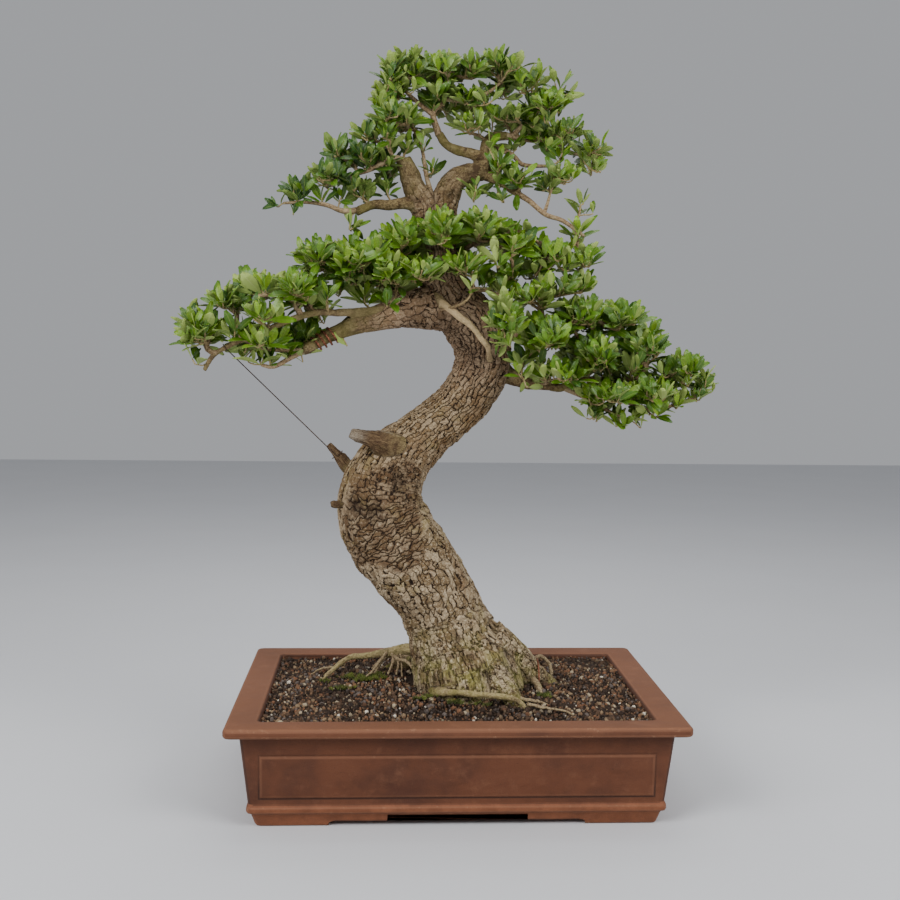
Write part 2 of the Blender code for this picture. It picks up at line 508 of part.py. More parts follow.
class Spray:
    """A twig with side shoots that end in rosettes, kept clear of everything that stands already."""

    def __init__(self, name, path, bark_finish, leaf_finish, standing, chance):
        self.name, self.path, self.chance = name, path, chance
        self.bark_finish, self.leaf_finish, self.standing = bark_finish, leaf_finish, standing
        self.blades, self.others, self.count = [], [], 0

    def crosses(self, points, faces):
        tree = BVHTree.FromPolygons(points, faces)
        return any(other.overlap(tree) for other in self.standing + self.blades)

    def start_of(self, points, radius):
        """The first place on the path whose ring is a gap away from the wood, going outwards."""
        for i, (side, upper, _) in enumerate(frames_along(points)):
            ring = [points[i]] + [points[i] + way * radius for way in (side, -side, upper, -upper)]
            if all(stands_outside(self.standing[0], p) for p in ring):
                return i
        raise ValueError(self.name + " never leaves the wood")

    def twig(self, points, first_radius, last_radius, sides):
        rings = []
        for i, (point, (side, upper, _)) in enumerate(zip(points, frames_along(points))):
            radius = first_radius + (last_radius - first_radius) * i / (len(points) - 1)
            turns = [2 * math.pi * k / sides for k in range(sides)]
            rings.append([point + (side * math.cos(t) + upper * math.sin(t)) * radius for t in turns])
        return loft(rings)

    def blade(self, hub, axis, out, spread, size):
        """The five outline points of a leaf, each with its upward normal. It arches out as it goes."""
        side = axis.cross(out)
        found = []
        for along, across in LEAF_OUTLINE:
            lean = spread + LEAF_ARCH * along
            way = axis * math.cos(lean) + out * math.sin(lean)
            normal = axis * math.sin(lean) - out * math.cos(lean)
            rise = abs(across) * LEAF_TROUGH
            found.append((hub + (way * along + side * across + normal * rise) * size, normal))
        return found

    def rosette(self, tip, axis):
        """Leaves that part from one hub at a shoot's end. Those that would cross something are left out."""
        side, upper, axis = frames_along([tip, tip + axis])[0]
        hub = tip - axis * 0.05  # so that the shoot ends inside the hub
        first = self.chance.uniform(0, 2 * math.pi)
        kept = []
        for k in range(ROSETTE):
            turn = first + 2 * math.pi * (k + self.chance.uniform(-LEAF_STRAY, LEAF_STRAY)) / ROSETTE
            out = side * math.cos(turn) + upper * math.sin(turn)
            spread = self.chance.uniform(*LEAF_SPREADS)
            size = LEAF_LENGTH * self.chance.uniform(*LEAF_SIZES)
            outline = self.blade(hub, axis, out, spread, size)
            wide = [hub + axis * 3 + out * 2] + [p + (p - outline[2][0]) * 0.04 for p, _ in outline]
            wide += [p + axis * 1.2 for p in wide]
            fan = [(0, 1, 2), (0, 2, 3), (0, 3, 4), (0, 4, 5), (6, 8, 7), (6, 9, 8), (6, 10, 9), (6, 11, 10)]
            if not self.crosses(wide, fan):
                kept.append((turn, out, outline, (wide, fan)))
        if len(kept) < 2:
            return
        points, faces = [], []
        count = len(kept)
        for k in range(count):
            turn, _, outline, shape = kept[k]
            after = kept[(k + 1) % count][0] + (2 * math.pi if k == count - 1 else 0)
            between = (turn + after) / 2
            notch = hub + (side * math.cos(between) + upper * math.sin(between)) * HUB_RADIUS
            for point, normal in [*outline, (notch, axis)]:
                points += [point + normal * (LEAF_THICK / 2), point - normal * (LEAF_THICK / 2)]
            self.blades.append(BVHTree.FromPolygons(*shape))
        step = 12
        for k in range(count):
            low = k * step
            before = ((k - 1) % count) * step + 10
            ring = [before, low, low + 2, low + 4, low + 6, low + 8, low + 10]
            for a, b, c in ((0, 1, 5), (0, 5, 6), (1, 2, 4), (1, 4, 5), (2, 3, 4)):
                faces.append((ring[a], ring[b], ring[c]))
                faces.append((ring[c] + 1, ring[b] + 1, ring[a] + 1))
            for a, b in zip(ring, ring[1:]):
                faces.append((a, a + 1, b + 1, b))
        if count > 2:
            faces.append([k * step + 10 for k in range(count)])
            faces.append([k * step + 11 for k in reversed(range(count))])
        self.others.append(solid("leaves", points, faces, self.leaf_finish, 50.0))
        self.count += count

    def add_shoot(self, start, ahead, length):
        points = [start, start + ahead * length]
        grown = self.twig(points, SHOOT_RADIUS * 1.15, SHOOT_RADIUS, 3)
        if self.crosses(*grown):
            return
        self.others.append(solid("shoot", *grown, self.bark_finish, 50.0))
        self.rosette(points[-1], ahead)

    def main_twig(self, fine):
        places = [fine[round(k * (len(fine) - 1) / 3)] for k in range(4)]
        return self.twig(places, TWIG_RADIUS, SHOOT_RADIUS, 4)

    def build(self):
        fine = [Vector(p[:3]) for p in smooth_path(self.path, 0.5)]
        fine = fine[self.start_of(fine, TWIG_RADIUS):]
        main_twig = self.main_twig(fine)
        while self.crosses(*main_twig):
            fine = fine[1:]
            main_twig = self.main_twig(fine)
        for k in range(SHOOTS):
            at = round((k + 1) / (SHOOTS + 1) * (len(fine) - 1))
            ahead = (fine[-1] - fine[max(0, at - 40)]).normalized()
            across = ahead.cross(Vector((0, 0, 1)))
            if across.length < 0.3:
                across = Vector((math.cos(2.4 * k), math.sin(2.4 * k), 0))
            out = across.normalized() * (1 if k % 2 else -1) * self.chance.uniform(0.7, 1.0)
            way = (ahead * 0.55 + out + Vector((0, 0, self.chance.uniform(0.1, 0.75)))).normalized()
            self.add_shoot(fine[at], way, self.chance.uniform(*SHOOT_LENGTHS))
        self.rosette(fine[-1], (fine[-1] - fine[-30]).normalized())
        piece = solid("spray_" + self.name, *main_twig, self.leaf_finish, 50.0)
        return merged(piece, self.others, solver="MANIFOLD")


def stands_outside(wood, point):
    place, normal, _, away = wood.find_nearest(point)
    return away >= GAP * 1.1 and (point - place).dot(normal) > 0


def tree_of(piece):
    """The faces of a piece in millimetres, for tests of what crosses what."""
    points = [v.co / MM for v in piece.data.vertices]
    return BVHTree.FromPolygons(points, [tuple(f.vertices) for f in piece.data.polygons])


def centre_on_origin(pieces):
    """Hangs every piece on an empty that puts the middle of the whole box over the origin."""
    stand = bpy.data.objects.new("stand", None)
    bpy.context.scene.collection.objects.link(stand)
    corners = [v.co for piece in pieces for v in piece.data.vertices]
    for axis in (0, 1):
        values = [c[axis] for c in corners]
        stand.location[axis] = -(min(values) + max(values)) / 2
    for piece in pieces:
        piece.parent = stand


def main():
    for old in list(bpy.data.objects):
        bpy.data.objects.remove(old)
    clay = finish_of("unglazed clay", (0.16, 0.072, 0.036), 0.72)
    grit = finish_of("akadama and grit", (0.12, 0.07, 0.045), 0.95)
    wood = finish_of("olive bark", (0.27, 0.2, 0.13), 0.85)
    leaf = finish_of("olive leaf", (0.09, 0.17, 0.04), 0.42)
    plastic = finish_of("black screen plastic", (0.02, 0.02, 0.02), 0.6)
    iron = finish_of("annealed iron wire", (0.06, 0.04, 0.03), 0.55, 1.0)
    copper = finish_of("copper wire", (0.34, 0.12, 0.06), 0.4, 1.0)

    make_pot(clay)
    make_screen("drain_screen_left", -DRAIN_X, plastic)
    make_screen("drain_screen_right", DRAIN_X, plastic)
    trunk = make_trunk(wood)
    cutters = wood_tubes(grit, extra=GAP * 2, longer=GAP * 2, buried_only=True)
    cutters.append(wire("leg_hole", anchor_points(GAP * 2), ANCHOR_RADIUS + GAP * 1.3, grit, 6))
    make_soil(grit, cutters)
    wires = [wire("anchor_wire", anchor_points(), ANCHOR_RADIUS, copper, 6), make_guy_wire(iron),
             make_training_wire(copper)]
    standing = [tree_of(trunk)] + [tree_of(piece) for piece in wires]
    chance = random.Random(SEED)
    count = 0
    for name, path in SPRAYS.items():
        spray = Spray(name, path, wood, leaf, standing, chance)
        standing.append(tree_of(spray.build()))
        count += spray.count
    print(count, "leaves")
    centre_on_origin([piece for piece in bpy.data.objects if piece.type == "MESH"])


main()
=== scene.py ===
import json
import math
import random

import bpy
import bmesh
import numpy as np
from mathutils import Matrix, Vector, noise
from mathutils.bvhtree import BVHTree

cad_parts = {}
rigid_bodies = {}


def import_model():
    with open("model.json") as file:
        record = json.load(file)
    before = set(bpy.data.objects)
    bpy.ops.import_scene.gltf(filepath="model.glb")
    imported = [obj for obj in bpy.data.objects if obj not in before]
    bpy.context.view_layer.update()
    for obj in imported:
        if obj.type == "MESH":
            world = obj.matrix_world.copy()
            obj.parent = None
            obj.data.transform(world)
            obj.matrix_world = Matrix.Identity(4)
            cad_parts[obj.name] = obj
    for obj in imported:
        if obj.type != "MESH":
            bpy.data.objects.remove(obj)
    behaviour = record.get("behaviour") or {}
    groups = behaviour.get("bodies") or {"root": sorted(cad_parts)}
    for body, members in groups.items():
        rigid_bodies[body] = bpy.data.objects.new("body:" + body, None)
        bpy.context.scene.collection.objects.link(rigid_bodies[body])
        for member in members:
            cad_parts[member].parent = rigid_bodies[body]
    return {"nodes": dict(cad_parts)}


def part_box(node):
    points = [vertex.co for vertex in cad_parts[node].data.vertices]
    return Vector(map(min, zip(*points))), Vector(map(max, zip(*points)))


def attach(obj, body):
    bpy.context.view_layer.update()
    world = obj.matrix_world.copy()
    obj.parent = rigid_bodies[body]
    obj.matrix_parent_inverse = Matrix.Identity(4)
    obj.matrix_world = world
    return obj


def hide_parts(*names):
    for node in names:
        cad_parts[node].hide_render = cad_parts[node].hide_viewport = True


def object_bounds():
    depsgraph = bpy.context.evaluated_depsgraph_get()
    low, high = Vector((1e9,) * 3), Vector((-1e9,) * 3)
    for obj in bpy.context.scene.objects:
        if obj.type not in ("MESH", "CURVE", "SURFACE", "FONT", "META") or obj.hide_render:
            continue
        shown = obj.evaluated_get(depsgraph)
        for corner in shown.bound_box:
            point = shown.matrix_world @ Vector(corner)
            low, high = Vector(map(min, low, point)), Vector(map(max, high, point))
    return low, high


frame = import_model()
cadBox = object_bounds()

# Places are in millimetres from the middle of the pot, at the floor: x right, y away, z up.
mm = 0.001
potLow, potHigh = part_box("pot")
potMiddle = Vector(((potLow.x + potHigh.x) / 2, (potLow.y + potHigh.y) / 2, potLow.z))
roomLow = np.array(cadBox[0] - potMiddle) / mm
roomHigh = np.array(cadBox[1] - potMiddle) / mm


def operator(operation, reflected=False):
    def work(self, other):
        first, second = (other, self) if reflected else (self, other)
        return self.graph.node("ShaderNodeMath", {"operation": operation}, {0: first, 1: second})["Value"]
    return work


def bothWays(operation):
    return operator(operation), operator(operation, reflected=True)


class Signal:
    # one output of a node, so that shader maths can be written as plain sums
    __add__, __radd__ = bothWays("ADD")
    __sub__, __rsub__ = bothWays("SUBTRACT")
    __mul__, __rmul__ = bothWays("MULTIPLY")
    __truediv__, __rtruediv__ = bothWays("DIVIDE")
    __pow__, __rpow__ = bothWays("POWER")
    least, most = operator("MINIMUM"), operator("MAXIMUM")

    def __init__(self, graph, socket):
        self.graph = graph
        self.socket = socket

    def only(self, operation):
        return self.graph.node("ShaderNodeMath", {"operation": operation}, {0: self})["Value"]

    def size(self):
        return self.only("ABSOLUTE")

    def rise(self, low, high):
        # 0 below low and 1 above high, or the other way round where low is the larger
        if low > high:
            return 1 - self.rise(high, low)
        return self.graph.node("ShaderNodeMapRange", {"interpolation_type": "SMOOTHSTEP"},
                               {"Value": self, "From Min": low, "From Max": high})["Result"]


class Graph:
    # a tree of nodes, of a finish or of a pattern that makes geometry
    def __init__(self, tree):
        self.tree = tree

    def node(self, kind, settings=None, values=None):
        made = self.tree.nodes.new(kind)
        for name, value in (settings or {}).items():
            if name == "stops":
                self.setStops(made.color_ramp, value)
            else:
                setattr(made, name, value)
        for key, value in (values or {}).items():
            socket = made.inputs[key] if isinstance(key, int) else self.inlet(made, key)
            if isinstance(value, Signal):
                self.tree.links.new(value.socket, socket)
            else:
                socket.default_value = value
        return {socket.name: Signal(self, socket) for socket in made.outputs if socket.enabled}

    def inlet(self, made, name):
        return next(socket for socket in made.inputs if socket.name == name and socket.enabled)

    def setStops(self, ramp, stops):
        # each colour holds up to the next stop
        ramp.interpolation = "CONSTANT"
        while len(ramp.elements) < len(stops):
            ramp.elements.new(1.0)
        for element, (position, colour) in zip(ramp.elements, stops):
            element.position = position
            element.color = shade(*colour)

    def attribute(self, name, output="Vector"):
        return self.node("ShaderNodeAttribute", {"attribute_name": name})[output]

    def stored(self, name, kind="FLOAT"):
        # in a pattern, what the mesh carries under a name
        values = {"Name": name}
        return self.node("GeometryNodeInputNamedAttribute", {"data_type": kind}, values)["Attribute"]

    def dice(self, kind, low, high, seed):
        values = {"Min": low, "Max": high, "Seed": seed}
        return self.node("FunctionNodeRandomValue", {"data_type": kind}, values)["Value"]

    def noise(self, place, scale, detail=2.0, roughness=0.5, output="Fac"):
        # a scale of three numbers stretches the noise
        if isinstance(scale, tuple):
            place, scale = self.stretch(place, scale), 1.0
        values = {"Vector": place, "Scale": scale, "Detail": detail, "Roughness": roughness}
        return self.node("ShaderNodeTexNoise", {}, values)[output]

    def vector(self, operation, place, other, output="Vector"):
        return self.node("ShaderNodeVectorMath", {"operation": operation}, {0: place, 1: other})[output]

    def stretch(self, place, factors):
        return self.vector("MULTIPLY", place, factors)

    def shift(self, place, other):
        return self.vector("ADD", place, other)

    def stray(self, place, scale, reach):
        # how noise moves a place about, up to half the reach each way
        aside = self.shift(self.noise(place, scale, 2.0, 0.6, "Color"), (-0.5, -0.5, -0.5))
        return self.stretch(aside, reach)

    def distance(self, place, other):
        return self.vector("DISTANCE", place, other, "Value")

    def parts(self, place):
        return self.node("ShaderNodeSeparateXYZ", {}, {"Vector": place})

    def join(self, x, y):
        return self.node("ShaderNodeCombineXYZ", {}, {"X": x, "Y": y})["Vector"]

    def mix(self, first, second, share):
        # three numbers are a colour as a screen shows it
        first, second = (shade(*end) if isinstance(end, tuple) and len(end) == 3 else end
                         for end in (first, second))
        values = {"A": first, "B": second, "Factor": share}
        return self.node("ShaderNodeMix", {"data_type": "RGBA"}, values)["Result"]

    def paint(self, colour, *layers):
        # layers of other colours over a colour, each with its share
        for other, share in layers:
            colour = self.mix(colour, other, share)
        return colour

    def surface(self, colour, roughness, height=None, depth=0.001, specular=0.5, metallic=0.0):
        # the shader and its output; a height gives the surface its relief, and depth is how deep that is
        values = {"Base Color": colour, "Roughness": roughness, "Specular IOR Level": specular,
                  "Metallic": metallic}
        if height is not None:
            relief = self.node("ShaderNodeBump", {}, {"Strength": 1.0, "Distance": depth, "Height": height})
            values["Normal"] = relief["Normal"]
        shader = self.node("ShaderNodeBsdfPrincipled", {}, values)["BSDF"]
        self.node("ShaderNodeOutputMaterial", {}, {"Surface": shader})


def shade(red, green, blue):
    # a colour as a screen shows it, from 0 to 255, as linear light
    parts = [part / 255 for part in (red, green, blue)]
    return (*[part / 12.92 if part < 0.04045 else ((part + 0.055) / 1.055) ** 2.4 for part in parts], 1.0)


def newFinish(name):
    # a material, its graph, and the place on any piece in millimetres from the middle of the pot
    material = bpy.data.materials.new(name)
    material.use_nodes = True
    material.node_tree.nodes.clear()
    graph = Graph(material.node_tree)
    place = graph.vector("SUBTRACT", graph.node("ShaderNodeTexCoord")["Object"], tuple(potMiddle))
    return material, graph, graph.stretch(place, (1 / mm, 1 / mm, 1 / mm))


def newMesh(name, points, faces, edges=()):
    # points are in millimetres from the middle of the pot
    mesh = bpy.data.meshes.new(name)
    places = np.asarray(points, float) * mm + np.array(potMiddle)
    mesh.from_pydata(places.tolist(), list(edges), faces)
    return mesh


def newPiece(name, data, finish=None):
    if finish:
        data.materials.append(finish)
    piece = bpy.data.objects.new(name, data)
    bpy.context.scene.collection.objects.link(piece)
    return piece


def plainMesh(piece):
    # the modifiers' result becomes the piece's own mesh
    depsgraph = bpy.context.evaluated_depsgraph_get()
    mesh = bpy.data.meshes.new_from_object(piece.evaluated_get(depsgraph), preserve_all_data_layers=True,
                                           depsgraph=depsgraph)
    old = piece.data
    piece.modifiers.clear()
    piece.data = mesh
    bpy.data.meshes.remove(old)


def pointsOf(piece):
    # in millimetres from the middle of the pot
    points = np.zeros(len(piece.data.vertices) * 3)
    piece.data.vertices.foreach_get("co", points)
    return (points.reshape(-1, 3) - np.array(potMiddle)) / mm


def giveValues(mesh, name, values, domain="POINT"):
    values = np.asarray(values, np.float32)
    if values.ndim == 1:
        mesh.attributes.new(name, "FLOAT", domain).data.foreach_set("value", values)
    else:
        mesh.attributes.new(name, "FLOAT_VECTOR", domain).data.foreach_set("vector", values.ravel())


def settle(piece, slot, *nodes):
    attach(piece, "root")
    if nodes:
        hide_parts(*nodes)


def makeShelf(name, meshes):
    # a collection of shapes, from which a pattern takes its copies
    shelf = bpy.data.collections.new(name)
    for i, mesh in enumerate(meshes):
        shelf.objects.link(bpy.data.objects.new(name + str(i), mesh))
    return shelf


def emptyShelf(shelf):
    for piece in list(shelf.objects):
        bpy.data.objects.remove(piece)
    bpy.data.collections.remove(shelf)


def newPattern(name, inputs):
    # a tree of geometry nodes with one geometry in, one out, and named inputs
    tree = bpy.data.node_groups.new(name, "GeometryNodeTree")
    tree.interface.new_socket("Geometry", in_out="INPUT", socket_type="NodeSocketGeometry")
    tree.interface.new_socket("Geometry", in_out="OUTPUT", socket_type="NodeSocketGeometry")
    for label, kind in inputs.items():
        tree.interface.new_socket(label, in_out="INPUT", socket_type="NodeSocket" + kind)
    graph = Graph(tree)
    return tree, graph, graph.node("NodeGroupInput")


def endPattern(graph, geometry, finish):
    real = graph.node("GeometryNodeRealizeInstances", {}, {"Geometry": geometry})["Geometry"]
    done = graph.node("GeometryNodeSetMaterial", {}, {"Geometry": real, "Material": finish})["Geometry"]
    graph.node("NodeGroupOutput", {}, {"Geometry": done})


def putShapes(graph, points, shelf, kind, turn, size, finish):
    # ends a pattern with one of the shelf's shapes on each point
    shapes = graph.node("GeometryNodeCollectionInfo", {},
                        {"Collection": shelf, "Separate Children": True, "Reset Children": True})["Instances"]
    put = {"Points": points, "Instance": shapes, "Pick Instance": True, "Instance Index": kind,
           "Rotation": turn, "Scale": size}
    endPattern(graph, graph.node("GeometryNodeInstanceOnPoints", {}, put)["Instances"], finish)


def applyPattern(piece, tree, values):
    modifier = piece.modifiers.new("pattern", "NODES")
    modifier.node_group = tree
    for item in tree.interface.items_tree:
        if item.in_out == "INPUT" and item.name in values:
            modifier[item.identifier] = values[item.name]
    plainMesh(piece)


def unit(way):
    return way / np.linalg.norm(way)


def dots(first, second):
    return np.einsum("ij,ij->i", first, second)


def jitter(chance, reach):
    return np.array([chance.uniform(-reach, reach) for _ in range(3)])


def smoothPath(path, step):
    # a Catmull-Rom curve through rows of x, y, z and radius
    rows = np.asarray(path, float)
    rows = np.vstack([rows[0] * 2 - rows[1], rows, rows[-1] * 2 - rows[-2]])
    found = [rows[1]]
    for a, b, c, d in zip(rows, rows[1:], rows[2:], rows[3:]):
        parts = max(1, round(np.linalg.norm(c[:3] - b[:3]) / step))
        for k in range(1, parts + 1):
            t = k / parts
            found.append((2 * b + (c - a) * t + (2 * a - 5 * b + 4 * c - d) * t ** 2
                          + (3 * b - a - 3 * c + d) * t ** 3) / 2)
    return np.array(found)


def lengthsAlong(places):
    # how far along the line each of its points is
    return np.concatenate([[0.0], np.cumsum(np.linalg.norm(np.diff(places, axis=0), axis=1))])


def framesAlong(places):
    # at each point two directions across that turn as little as they can, and the way ahead
    count = len(places)
    ahead = np.array([places[min(i + 1, count - 1)] - places[max(i - 1, 0)] for i in range(count)])
    ahead /= np.linalg.norm(ahead, axis=1)[:, None]
    side = np.zeros_like(ahead)
    across = np.array((0.0, 1.0, 0.0)) if abs(ahead[0][1]) < 0.9 else np.array((1.0, 0.0, 0.0))
    for i in range(count):
        across = unit(across - ahead[i] * across.dot(ahead[i]))
        side[i] = across
    return side, np.cross(ahead, side), ahead


def skinOver(rings):
    # points and faces of a closed tube through rings of equal length
    count = len(rings[0])
    faces = []
    for ring in range(len(rings) - 1):
        low, high = ring * count, (ring + 1) * count
        for i in range(count):
            j = (i + 1) % count
            faces.append((low + i, low + j, high + j, high + i))
    faces.append(tuple(reversed(range(count))))
    faces.append(tuple(range((len(rings) - 1) * count, len(rings) * count)))
    return np.concatenate([np.asarray(ring, float) for ring in rings]), faces


# Camera and light

camera = {
    "focalLength": 49.44,
    "sensorWidth": 36,
    "place": (-81.5, -1459.9, 505.6),
    "pitch": 4.27,  # degrees down
    "yaw": 3.01,  # degrees towards the right
    "roll": 0.65,
}


def makeCamera():
    pitch, yaw, roll = (math.radians(camera[name]) for name in ("pitch", "yaw", "roll"))
    ahead = Vector((math.sin(yaw) * math.cos(pitch), math.cos(yaw) * math.cos(pitch), -math.sin(pitch)))
    right = Vector((math.cos(yaw), -math.sin(yaw), 0))
    upward = right.cross(ahead)
    data = bpy.data.cameras.new("camera")
    data.lens = camera["focalLength"]
    data.sensor_width = camera["sensorWidth"]
    made = newPiece("camera", data)
    turn = made.matrix_world.to_3x3()
    turn.col[0] = right * math.cos(roll) + upward * math.sin(roll)
    turn.col[1] = upward * math.cos(roll) - right * math.sin(roll)
    turn.col[2] = -ahead
    made.matrix_world = turn.to_4x4()
    made.location = potMiddle + Vector(camera["place"]) * mm
    bpy.context.scene.camera = made


studio = {
    "lamps": [  # place, size and watts
        ((-1500, -1500, 1550), 1300, 54),
        ((1500, -1400, 1450), 1300, 40),
        ((100, 700, 2200), 1500, 18),
    ],
    "aim": (0, 0, 420),
    "worldColour": (0.86, 0.88, 0.92),
    "worldStrength": 0.45,
    "floorColour": (206, 207, 210),
    "floorTone": 0.94,  # of its darker places
    "floorSize": 9000,
    "floorDrop": 0.2,  # under the feet of the pot
}


def makeStudio():
    for place, size, watts in studio["lamps"]:
        data = bpy.data.lights.new("lamp", "AREA")
        data.shape = "SQUARE"
        data.size = size * mm
        data.energy = watts
        lamp = newPiece("lamp", data)
        lamp.location = potMiddle + Vector(place) * mm
        lamp.rotation_mode = "QUATERNION"
        lamp.rotation_quaternion = (Vector(studio["aim"]) - Vector(place)).to_track_quat("-Z", "Y")
    world = bpy.data.worlds.new("studio")
    world.use_nodes = True
    backdrop = world.node_tree.nodes["Background"]
    backdrop.inputs["Color"].default_value = (*studio["worldColour"], 1.0)
    backdrop.inputs["Strength"].default_value = studio["worldStrength"]
    bpy.context.scene.world = world
    finish, graph, place = newFinish("pale floor")
    pale = shade(*studio["floorColour"])
    darker = tuple(part * studio["floorTone"] for part in pale[:3]) + (1.0,)
    graph.surface(graph.mix(pale, darker, graph.noise(place, 0.004, 3.0)), 0.8)
    half = studio["floorSize"] / 2
    corners = [(-half, -half, 0), (half, -half, 0), (half, half, 0), (-half, half, 0)]
    floor = newPiece("floor", newMesh("floor", corners, [(0, 1, 2, 3)]), finish)
    floor.location.z -= studio["floorDrop"] * mm


makeCamera()
makeStudio()
print("camera, lamps and floor")


# Pot

pot = {
    "edge": 2.2,  # radius of the worn edges
    "edgeAngle": 24,  # degrees; flatter edges stay as they are
    "flatAngle": 1.5,  # degrees; faces as even as this become one
    "grainSize": 0.9,
    "panel": (212.9, 147.9, 57.5, 24.0),  # half its length on long and short walls, middle, half its height
    "wallColour": (94, 53, 31),
    "shadeColour": (71, 38, 22),
    # a lighter clay, for dust, worn edges and painted highlights
    "dustAndHighlightColour": (134, 90, 64),
    "bandColour": (140, 84, 54),
    "chipColour": (156, 118, 90),
    "creaseShadeColour": (48, 27, 17),
    "speckColour": (52, 30, 20),
}


def panelLines(graph, place):
    # painted shade in the groove round the raised panel of each wall, darker along its bottom, and a painted
    # highlight on the ridge just inside it, brighter along its top
    at = graph.parts(place)
    faces = graph.parts(graph.node("ShaderNodeNewGeometry")["Normal"])
    short = (faces["X"].size() - faces["Y"].size()).rise(-0.05, 0.05)
    halfLong, halfShort, middle, halfHigh = pot["panel"]
    beyond = (at["X"].size() - halfLong) * (1 - short) + (at["Y"].size() - halfShort) * short
    beyond = beyond.most((at["Z"] - middle).size() - halfHigh)
    onWall = at["Z"].rise(101, 99) * faces["Z"].size().rise(0.9, 0.8)
    grooveShade = (beyond - 0.6).size().rise(1.7, 0.3) * (0.25 + at["Z"].rise(60, 40) * 0.6)
    ridge = (beyond + 2.0).size().rise(2.2, 0.4) * (0.1 + at["Z"].rise(60, 80) * 0.16)
    return grooveShade * onWall, ridge * onWall


def clayFinish():
    finish, graph, place = newFinish("unglazed clay")
    height = graph.parts(place)["Z"]
    cloud = graph.noise(place, 0.012, 4.0, 0.6)
    blot = graph.noise(graph.shift(place, (300, 40, 9)), 0.05, 4.0, 0.65)
    grain = graph.noise(place, 1 / pot["grainSize"], 3.0, 0.7)
    speck = graph.noise(graph.shift(place, (11, 170, 5)), 0.55)
    wobble = graph.noise(place, (0.02, 0.02, 0.035))
    edge = graph.attribute("edge", "Fac")
    onPanel = height.rise(30, 33) * height.rise(92, 88)
    # worn edges are partly wear and partly a painted highlight on their rounding; the sunk edges of grooves
    # get painted shade
    worn, creaseShade = edge.most(0.0) * (1 - onPanel * 0.7), (edge * -1.0).most(0.0)
    chips = worn * graph.noise(graph.shift(place, (7, 7, 70)), 0.16, 3.0, 0.7).rise(0.58, 0.72)
    grooveShade, ridge = panelLines(graph, place)
    # blots of dust, and a painted highlight: the lip and the top of the rim are coloured lighter where light
    # from above falls on them
    dustAndRimLight = blot.rise(0.5, 0.8) * 0.3 + height.rise(102, 106) * 0.1 + height.rise(112, 114.6) * 0.5
    colour = graph.paint(
        pot["shadeColour"],
        (pot["wallColour"], cloud.rise(0.3, 0.62)),
        (pot["dustAndHighlightColour"], dustAndRimLight),
        (pot["bandColour"], height.rise(27, 25.5) * (0.35 + blot.rise(0.3, 0.7) * 0.4)),
        (pot["shadeColour"], grain.rise(0.62, 0.3) * 0.3),
        (pot["speckColour"], speck.rise(0.69, 0.74) * 0.5),
        # a painted highlight on the panel's ridge, and painted shade in its groove
        (pot["dustAndHighlightColour"], ridge),
        (pot["creaseShadeColour"], grooveShade),
        # the worn edges coloured lighter: wear and a painted highlight; the sunk edges darker: painted shade
        (pot["dustAndHighlightColour"], worn * 0.35),
        (pot["chipColour"], chips * 0.4),
        (pot["creaseShadeColour"], creaseShade * 0.5))
    relief = grain * 0.6 + blot * 1.2 + speck * 0.5 + wobble * 8.0
    graph.surface(colour, 0.62 + grain * 0.2, relief, 0.0005, specular=0.35)
    return finish


def widthOf(face):
    return face.calc_area() / max(side.calc_length() for side in face.edges)


def makePot(finish):
    # a clean copy of the fired shape, with its edges worn round
    mesh = frame["nodes"]["pot"].data.copy()
    mesh.materials.clear()
    shape = bmesh.new()
    shape.from_mesh(mesh)
    bmesh.ops.remove_doubles(shape, verts=shape.verts, dist=0.00002)
    flat = math.radians(pot["flatAngle"])
    bmesh.ops.dissolve_limit(shape, angle_limit=flat, verts=shape.verts, edges=shape.edges)
    weigh = shape.edges.layers.float.new("bevel_weight_edge")
    for edge in shape.edges:
        if edge.is_manifold and edge.calc_face_angle() > math.radians(pot["edgeAngle"]):
            # a narrow face between two edges leaves each of them less room
            room = min(widthOf(face) for face in edge.link_faces)
            edge[weigh] = min(1.0, room * 0.4 / (pot["edge"] * mm))
    shape.to_mesh(mesh)
    shape.free()
    mesh.shade_smooth()
    for name in [layer.name for layer in mesh.uv_layers]:
        mesh.uv_layers.remove(mesh.uv_layers[name])
    piece = newPiece("clayPot", mesh, finish)
    worn = piece.modifiers.new("worn", "BEVEL")
    worn.width = pot["edge"] * mm
    worn.segments = 3
    worn.limit_method = "WEIGHT"
    worn.use_clamp_overlap = False
    worn.harden_normals = True
    worn.material = -1
    plainMesh(piece)
    markEdges(piece.data)
    settle(piece, "clay", "pot")


def markEdges(mesh):
    # 1 on the narrow faces of worn edges, -1 on those of grooves and 0 on the walls
    shape = bmesh.new()
    shape.from_mesh(mesh)
    shape.normal_update()
    values = []
    for face in shape.faces:
        turn = sum(edge.calc_face_angle_signed() for edge in face.edges if edge.is_manifold)
        plain = widthOf(face) > pot["edge"] * 0.7 * mm or abs(turn) < 0.1
        values.append(0.0 if plain else math.copysign(1.0, turn))
    shape.free()
    giveValues(mesh, "edge", values, "FACE")


makePot(clayFinish())
print("pot")


# Wood

